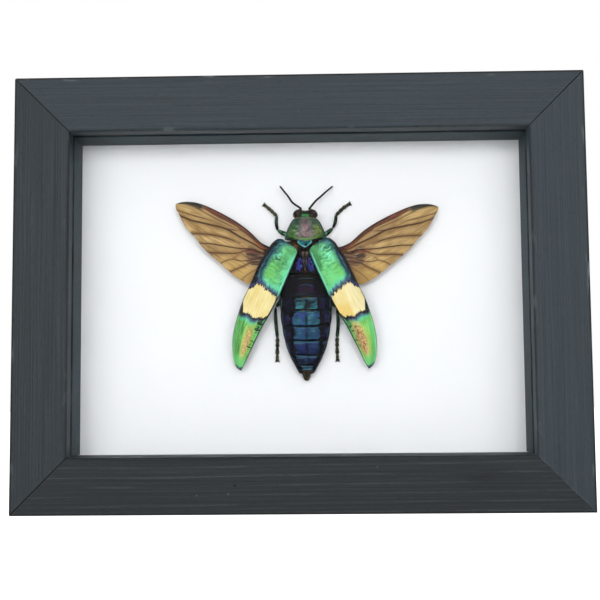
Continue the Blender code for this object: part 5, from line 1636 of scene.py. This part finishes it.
def tube(path, radii, sides, flatness=1.0, **values):
    """Closed limb skin along a path, with its own radius at each point."""
    path = np.asarray(path, float)
    along = np.gradient(path, axis=0)
    along /= np.linalg.norm(along, axis=1)[:, None]
    sideways = np.cross(along, (0.0, 0.0, 1.0))
    sideways /= np.linalg.norm(sideways, axis=1)[:, None]
    upward = np.cross(sideways, along)
    angle = np.linspace(0, 2 * math.pi, sides, endpoint=False)[None, :, None]
    reach = np.asarray(radii, float)[:, None, None]
    ring = sideways[:, None] * np.cos(angle) + upward[:, None] * np.sin(angle) * flatness
    points = path[:, None] + ring * reach
    if "shine" in values:
        values["shine"] *= step_up(0.7, 0.98, np.sin(angle[:, :, 0]))
    return skin(points, values)


def limb_part(points, profile, flatness, rounding=0.12, count=LIMB_STEPS[0], **values):
    """One segment of a limb through its points, with rounded ends."""
    shares = end_spaced(0, 1, count)
    route = smooth_route(points, ROUTE_STEPS + 1)
    spot = np.clip(shares * ROUTE_STEPS, 0, ROUTE_STEPS - 0.001)
    low = spot.astype(int)
    path = route[low] + (route[low + 1] - route[low]) * (spot - low)[:, None]
    (radii,) = smooth_columns(profile, shares)
    radii = radii * np.maximum(0.1, rise_from_ends(shares, 0, 1, rounding))
    return tube(path, radii, LIMB_STEPS[1], flatness, **values)


def claw(tip, ahead, sideways):
    """One curved claw at the end of a foot."""
    shares = np.linspace(0, 1, CLAW_STEPS[0])[:, None]
    path = tip + sideways * CLAW_SPREAD * shares + ahead * 0.28 * np.sin(shares * math.pi * 0.6)
    path = path + np.array((0, 0, -CLAW_DROP)) * shares**2
    return tube(path, 0.18 * (1 - 0.8 * shares[:, 0]) + 0.03, CLAW_STEPS[1], foot=0.5)


def build_leg(name, path, finish):
    """A leg: thigh, shin with end spurs, five lobed foot segments and two claws."""
    joints = [np.array(point) for point in path]
    girth = HINDLEG_GIRTH if name.startswith("hindleg") else 1.0
    thigh = [(share, radius * girth) for share, radius in THIGH]
    shin = [(share, radius * (girth if share > 0.2 else 1.0)) for share, radius in SHIN]
    shells = [
        limb_part(joints[0:3], thigh, LEG_FLATNESS, shine=0.8),
        limb_part(joints[2:5], shin, LEG_FLATNESS, shine=0.2),
    ]
    for first, second in zip(joints[4:9], joints[5:10]):
        size = FOOT_END_SIZE if first is joints[7] else 1.0
        profile = [(share, radius * size) for share, radius in FOOT_LOBE]
        reach = (second - first) * FOOT_OVERLAP
        lobe = [first, first + reach * 0.5 + np.array((0, 0, 0.06)), first + reach]
        shells.append(limb_part(lobe, profile, FOOT_FLATNESS, 0.2, FOOT_STEPS, foot=1.0))
    ahead = joints[9] - joints[8]
    ahead /= np.linalg.norm(ahead)
    sideways = np.cross(ahead, (0.0, 0.0, 1.0))
    shin_end = joints[4] - joints[3]
    shin_end /= np.linalg.norm(shin_end)
    shin_side = np.cross(shin_end, (0.0, 0.0, 1.0))
    for sign in (-1, 1):
        shells.append(claw(joints[9], ahead, sideways * sign))
        spur = [joints[4] + shin_side * sign * 0.26, joints[4] + shin_side * sign * 0.5 + shin_end * 0.45]
        steps = np.linspace(0, 1, SPUR_STEPS[0])[:, None]
        shells.append(tube(between(spur, steps), 0.11 * (1 - 0.85 * steps[:, 0]) + 0.01, SPUR_STEPS[1]))
    make_piece(f"{name}_jointed", shells, [finish], [name])


def build_antenna(name, path, finish):
    """A feeler of short segments, each widest near its end."""
    steps, sides = FEELER_STEPS
    route = smooth_route(path, FEELER_SEGMENTS * steps + 1)
    shares = np.linspace(0, 1, steps + 1)
    swelling = (0.62 + 0.38 * np.sin(shares * math.pi * 0.62)) * np.where(shares > 0.95, 0.8, 1.0)
    shells = []
    for number in range(FEELER_SEGMENTS):
        girth = 0.36 if number == 0 else 0.34 - 0.007 * number
        segment = route[number * steps:(number + 1) * steps + 1]
        shells.append(tube(segment, girth * swelling, sides))
    make_piece(f"{name}_jointed", shells, [finish], [name])


# Settings

class SpecimenFrameSettings(bpy.types.PropertyGroup):
    """Sizes and colours of the frame."""

    grain_depth: bpy.props.FloatProperty(
        name="Grain Depth", description="How deep the soft wood is worn", default=0.00006, unit="LENGTH")
    comb_bottom: bpy.props.FloatProperty(
        name="Bottom Grain Lines", description="Strength of the wide grain lines of the bottom rail",
        default=1.0, subtype="FACTOR")
    comb_rest: bpy.props.FloatProperty(
        name="Other Grain Lines", description="Strength of the wide grain lines of the other rails",
        default=0.12, subtype="FACTOR")
    wood_dark: bpy.props.FloatVectorProperty(
        name="Dark Stain", description="Darkest colour of the stained wood",
        default=tint(26, 31, 34)[:3], subtype="COLOR")
    wood_light: bpy.props.FloatVectorProperty(
        name="Light Stain", description="Lightest colour of the stained wood",
        default=tint(58, 68, 75)[:3], subtype="COLOR")
    card: bpy.props.FloatVectorProperty(
        name="Card", description="Colour of the mount card", default=(0.9, 0.904, 0.932), subtype="COLOR")
    glass_ior: bpy.props.FloatProperty(
        name="Glass IOR", description="Refraction of the glass, low as on coated glass", default=1.12)


class SpecimenBeetleSettings(bpy.types.PropertyGroup):
    """Sizes and shine of the beetle."""

    relief: bpy.props.FloatProperty(
        name="Relief", description="Strength of wrinkles, pits and ridges", default=1.0, subtype="FACTOR")
    shell_metal: bpy.props.FloatProperty(
        name="Shell Metal", description="Metallic share of the green shell", default=0.45, subtype="FACTOR")
    shell_roughness: bpy.props.FloatProperty(
        name="Shell Roughness", description="Roughness of the green shell", default=0.3, subtype="FACTOR")


class SpecimenStageSettings(bpy.types.PropertyGroup):
    """Light and floor of the studio."""

    key_power: bpy.props.FloatProperty(
        name="Key Light", description="Power of the large light above", default=1.0, unit="POWER")
    side_power: bpy.props.FloatProperty(
        name="Side Lights", description="Power of the low lights to the left and right",
        default=1.0, unit="POWER")
    sky: bpy.props.FloatProperty(
        name="Room Light", description="Strength of the light all round", default=0.43)
    front: bpy.props.FloatProperty(
        name="Front Light", description="Strength of the wide ring of light in front", default=11.75)
    floor: bpy.props.FloatVectorProperty(
        name="Floor", description="Colour of the floor", default=(0.93, 0.93, 0.93), subtype="COLOR")
    floor_glow: bpy.props.FloatProperty(
        name="Floor Glow", description="How much brighter the floor looks to the camera", default=1.0)


# Operators

class SPECIMEN_OT_rails(bpy.types.Operator):
    """Make the four worn rails of the frame"""

    bl_idname = "specimen.rails"
    bl_label = "Rails"

    def execute(self, context):
        look = context.scene.specimen_frame
        finish = stained_wood(look)
        for side in RAIL_STEPS:
            build_rail(side, look, finish)
        return {"FINISHED"}


class SPECIMEN_OT_sheets(bpy.types.Operator):
    """Finish the glass, card, strips, back board, fixings and pin"""

    bl_idname = "specimen.sheets"
    bl_label = "Glass, Card and Fixings"

    def execute(self, context):
        look = context.scene.specimen_frame
        strip, zinc = painted_strip(), zinc_steel()
        dress("glass", clear_glass(look))
        dress("mount_card", white_card(look))
        dress("back_board", brown_board())
        dress("pin", black_pin())
        for side in RAIL_STEPS:
            dress(f"spacer_{side}", strip)
        for name in ("hanger", "nail_left", "nail_right", *(f"framers_point_{n}" for n in range(1, 7))):
            dress(name, zinc)
        return {"FINISHED"}


class SPECIMEN_OT_body(bpy.types.Operator):
    """Make the head, prothorax, thorax and abdomen"""

    bl_idname = "specimen.body"
    bl_label = "Body"

    def execute(self, context):
        look = context.scene.specimen_beetle
        build_head(head_shell(), eye_shell())
        build_prothorax(look, shield_shell(look))
        build_thorax(thorax_shell())
        build_abdomen(body_shell())
        return {"FINISHED"}


class SPECIMEN_OT_wing_cases(bpy.types.Operator):
    """Make both wing cases"""

    bl_idname = "specimen.wing_cases"
    bl_label = "Wing Cases"

    def execute(self, context):
        look = context.scene.specimen_beetle
        for side in OUTWARD:
            build_wing_case(side, look, wing_case_shell(look, side))
        return {"FINISHED"}


class SPECIMEN_OT_wings(bpy.types.Operator):
    """Make both membrane wings"""

    bl_idname = "specimen.wings"
    bl_label = "Membrane Wings"

    def execute(self, context):
        finish = wing_membrane()
        for side in OUTWARD:
            build_wing(side, finish)
        return {"FINISHED"}


class SPECIMEN_OT_limbs(bpy.types.Operator):
    """Make the legs and feelers"""

    bl_idname = "specimen.limbs"
    bl_label = "Legs and Feelers"

    def execute(self, context):
        finish = leg_shell()
        for name, path in LEG_PATHS.items():
            build_leg(name, path, finish)
        for name, path in ANTENNA_PATHS.items():
            build_antenna(name, path, finish)
        return {"FINISHED"}


class SPECIMEN_OT_stage(bpy.types.Operator):
    """Set the floor, the lights and the camera"""

    bl_idname = "specimen.stage"
    bl_label = "Studio"

    def execute(self, context):
        look = context.scene.specimen_stage
        context.scene.view_settings.view_transform = "Standard"
        self.lay_floor(look)
        self.light_room(context, look)
        self.add_light("key_light", (350, -850, 850), 900, look.key_power)
        self.add_light("left_light", (-440, -880, 90), 320, look.side_power * 1.1)
        self.add_light("right_light", (440, -880, 90), 320, look.side_power * 0.9)
        self.place_camera(context)
        return {"FINISHED"}

    def lay_floor(self, look):
        """A wide pale floor under the frame."""
        signs = ((-1, -1), (1, -1), (1, 1), (-1, 1))
        corners = [(x * FLOOR_HALF, y * FLOOR_HALF, -FLOOR_DROP) for x, y in signs]
        mesh = bpy.data.meshes.new("floor")
        mesh.from_pydata(corners, [], [(0, 1, 2, 3)])
        mesh.materials.append(pale_floor(look))
        floor = add_object("floor", mesh)

    def light_room(self, context, look):
        """Weak light all round, a bright ring in front, and plain white as background and mirror image."""
        f = Finish("room", world=True)
        direction = f.node("TexCoord", {}, {}, output="Generated")
        facing = f.node("VectorMath", {"operation": "DOT_PRODUCT"}, {0: direction, 1: RING_AXIS}, "Value")
        levels = [
            (math.cos(math.radians(angle)), between((look.sky, look.front), share))
            for angle, share in RING_STOPS
        ]
        ring = f.node("ValToRGB", {"stops": levels}, {"Fac": facing})
        seen, mirrored = (f.node("LightPath", {}, {}, f"Is {kind} Ray") for kind in ("Camera", "Singular"))
        strength = f.node("MapRange", {}, {"Value": seen.most(mirrored), "To Min": ring, "To Max": 1.0})
        background = f.node("Background", {}, {"Color": (1, 1, 1, 1), "Strength": strength})
        context.scene.world = f.close(background, "OutputWorld")

    def add_light(self, name, place, size, power):
        """A square soft light aimed at the middle of the frame."""
        light = bpy.data.lights.new(name, "AREA")
        light.size = size * MM
        light.energy = power
        item = add_object(name, light)
        item.location = Vector(place) * MM
        aim = Vector((0, 0, FRAME_HEIGHT / 2)) * MM - item.location
        item.rotation_euler = aim.to_track_quat("-Z", "Y").to_euler()

    def place_camera(self, context):
        """The camera where the photograph was taken from."""
        camera = bpy.data.cameras.new("camera")
        camera.lens = CAMERA_LENS
        camera.sensor_width = CAMERA_SENSOR
        camera.clip_start = 0.01
        item = add_object("camera", camera)
        place = Matrix.Translation(Vector(CAMERA_PLACE) * MM)
        for angle, axis in ((CAMERA_PAN, "Z"), (90 + CAMERA_TILT, "X"), (CAMERA_ROLL, "Z")):
            place @= Matrix.Rotation(math.radians(angle), 4, axis)
        item.matrix_world = place
        context.scene.camera = item


OPERATORS = (
    SPECIMEN_OT_rails, SPECIMEN_OT_sheets, SPECIMEN_OT_body, SPECIMEN_OT_wing_cases, SPECIMEN_OT_wings,
    SPECIMEN_OT_limbs, SPECIMEN_OT_stage,
)
SETTINGS = {
    "specimen_frame": SpecimenFrameSettings,
    "specimen_beetle": SpecimenBeetleSettings,
    "specimen_stage": SpecimenStageSettings,
}


class SPECIMEN_PT_panel(bpy.types.Panel):
    """Settings and steps of the framed specimen"""

    bl_idname = "SPECIMEN_PT_panel"
    bl_label = "Framed Jewel Beetle"
    bl_space_type = "VIEW_3D"
    bl_region_type = "UI"
    bl_category = "Specimen"

    def draw(self, context):
        for group_name, group in SETTINGS.items():
            box = self.layout.box()
            for name in group.__annotations__:
                box.prop(getattr(context.scene, group_name), name)
        for operator in OPERATORS:
            self.layout.operator(operator.bl_idname)


def register():
    for group_name, group in SETTINGS.items():
        bpy.utils.register_class(group)
        setattr(bpy.types.Scene, group_name, bpy.props.PointerProperty(type=group))
    for item in (*OPERATORS, SPECIMEN_PT_panel):
        bpy.utils.register_class(item)


def unregister():
    for item in reversed((*OPERATORS, SPECIMEN_PT_panel)):
        bpy.utils.unregister_class(item)
    for group_name, group in SETTINGS.items():
        delattr(bpy.types.Scene, group_name)
        bpy.utils.unregister_class(group)


def main():
    """Register the classes and make every piece."""
    register()
    for operator in OPERATORS:
        group, name = operator.bl_idname.split(".")
        getattr(getattr(bpy.ops, group), name)()
    bpy.context.view_layer.update()


if __name__ == "__main__":
    main()
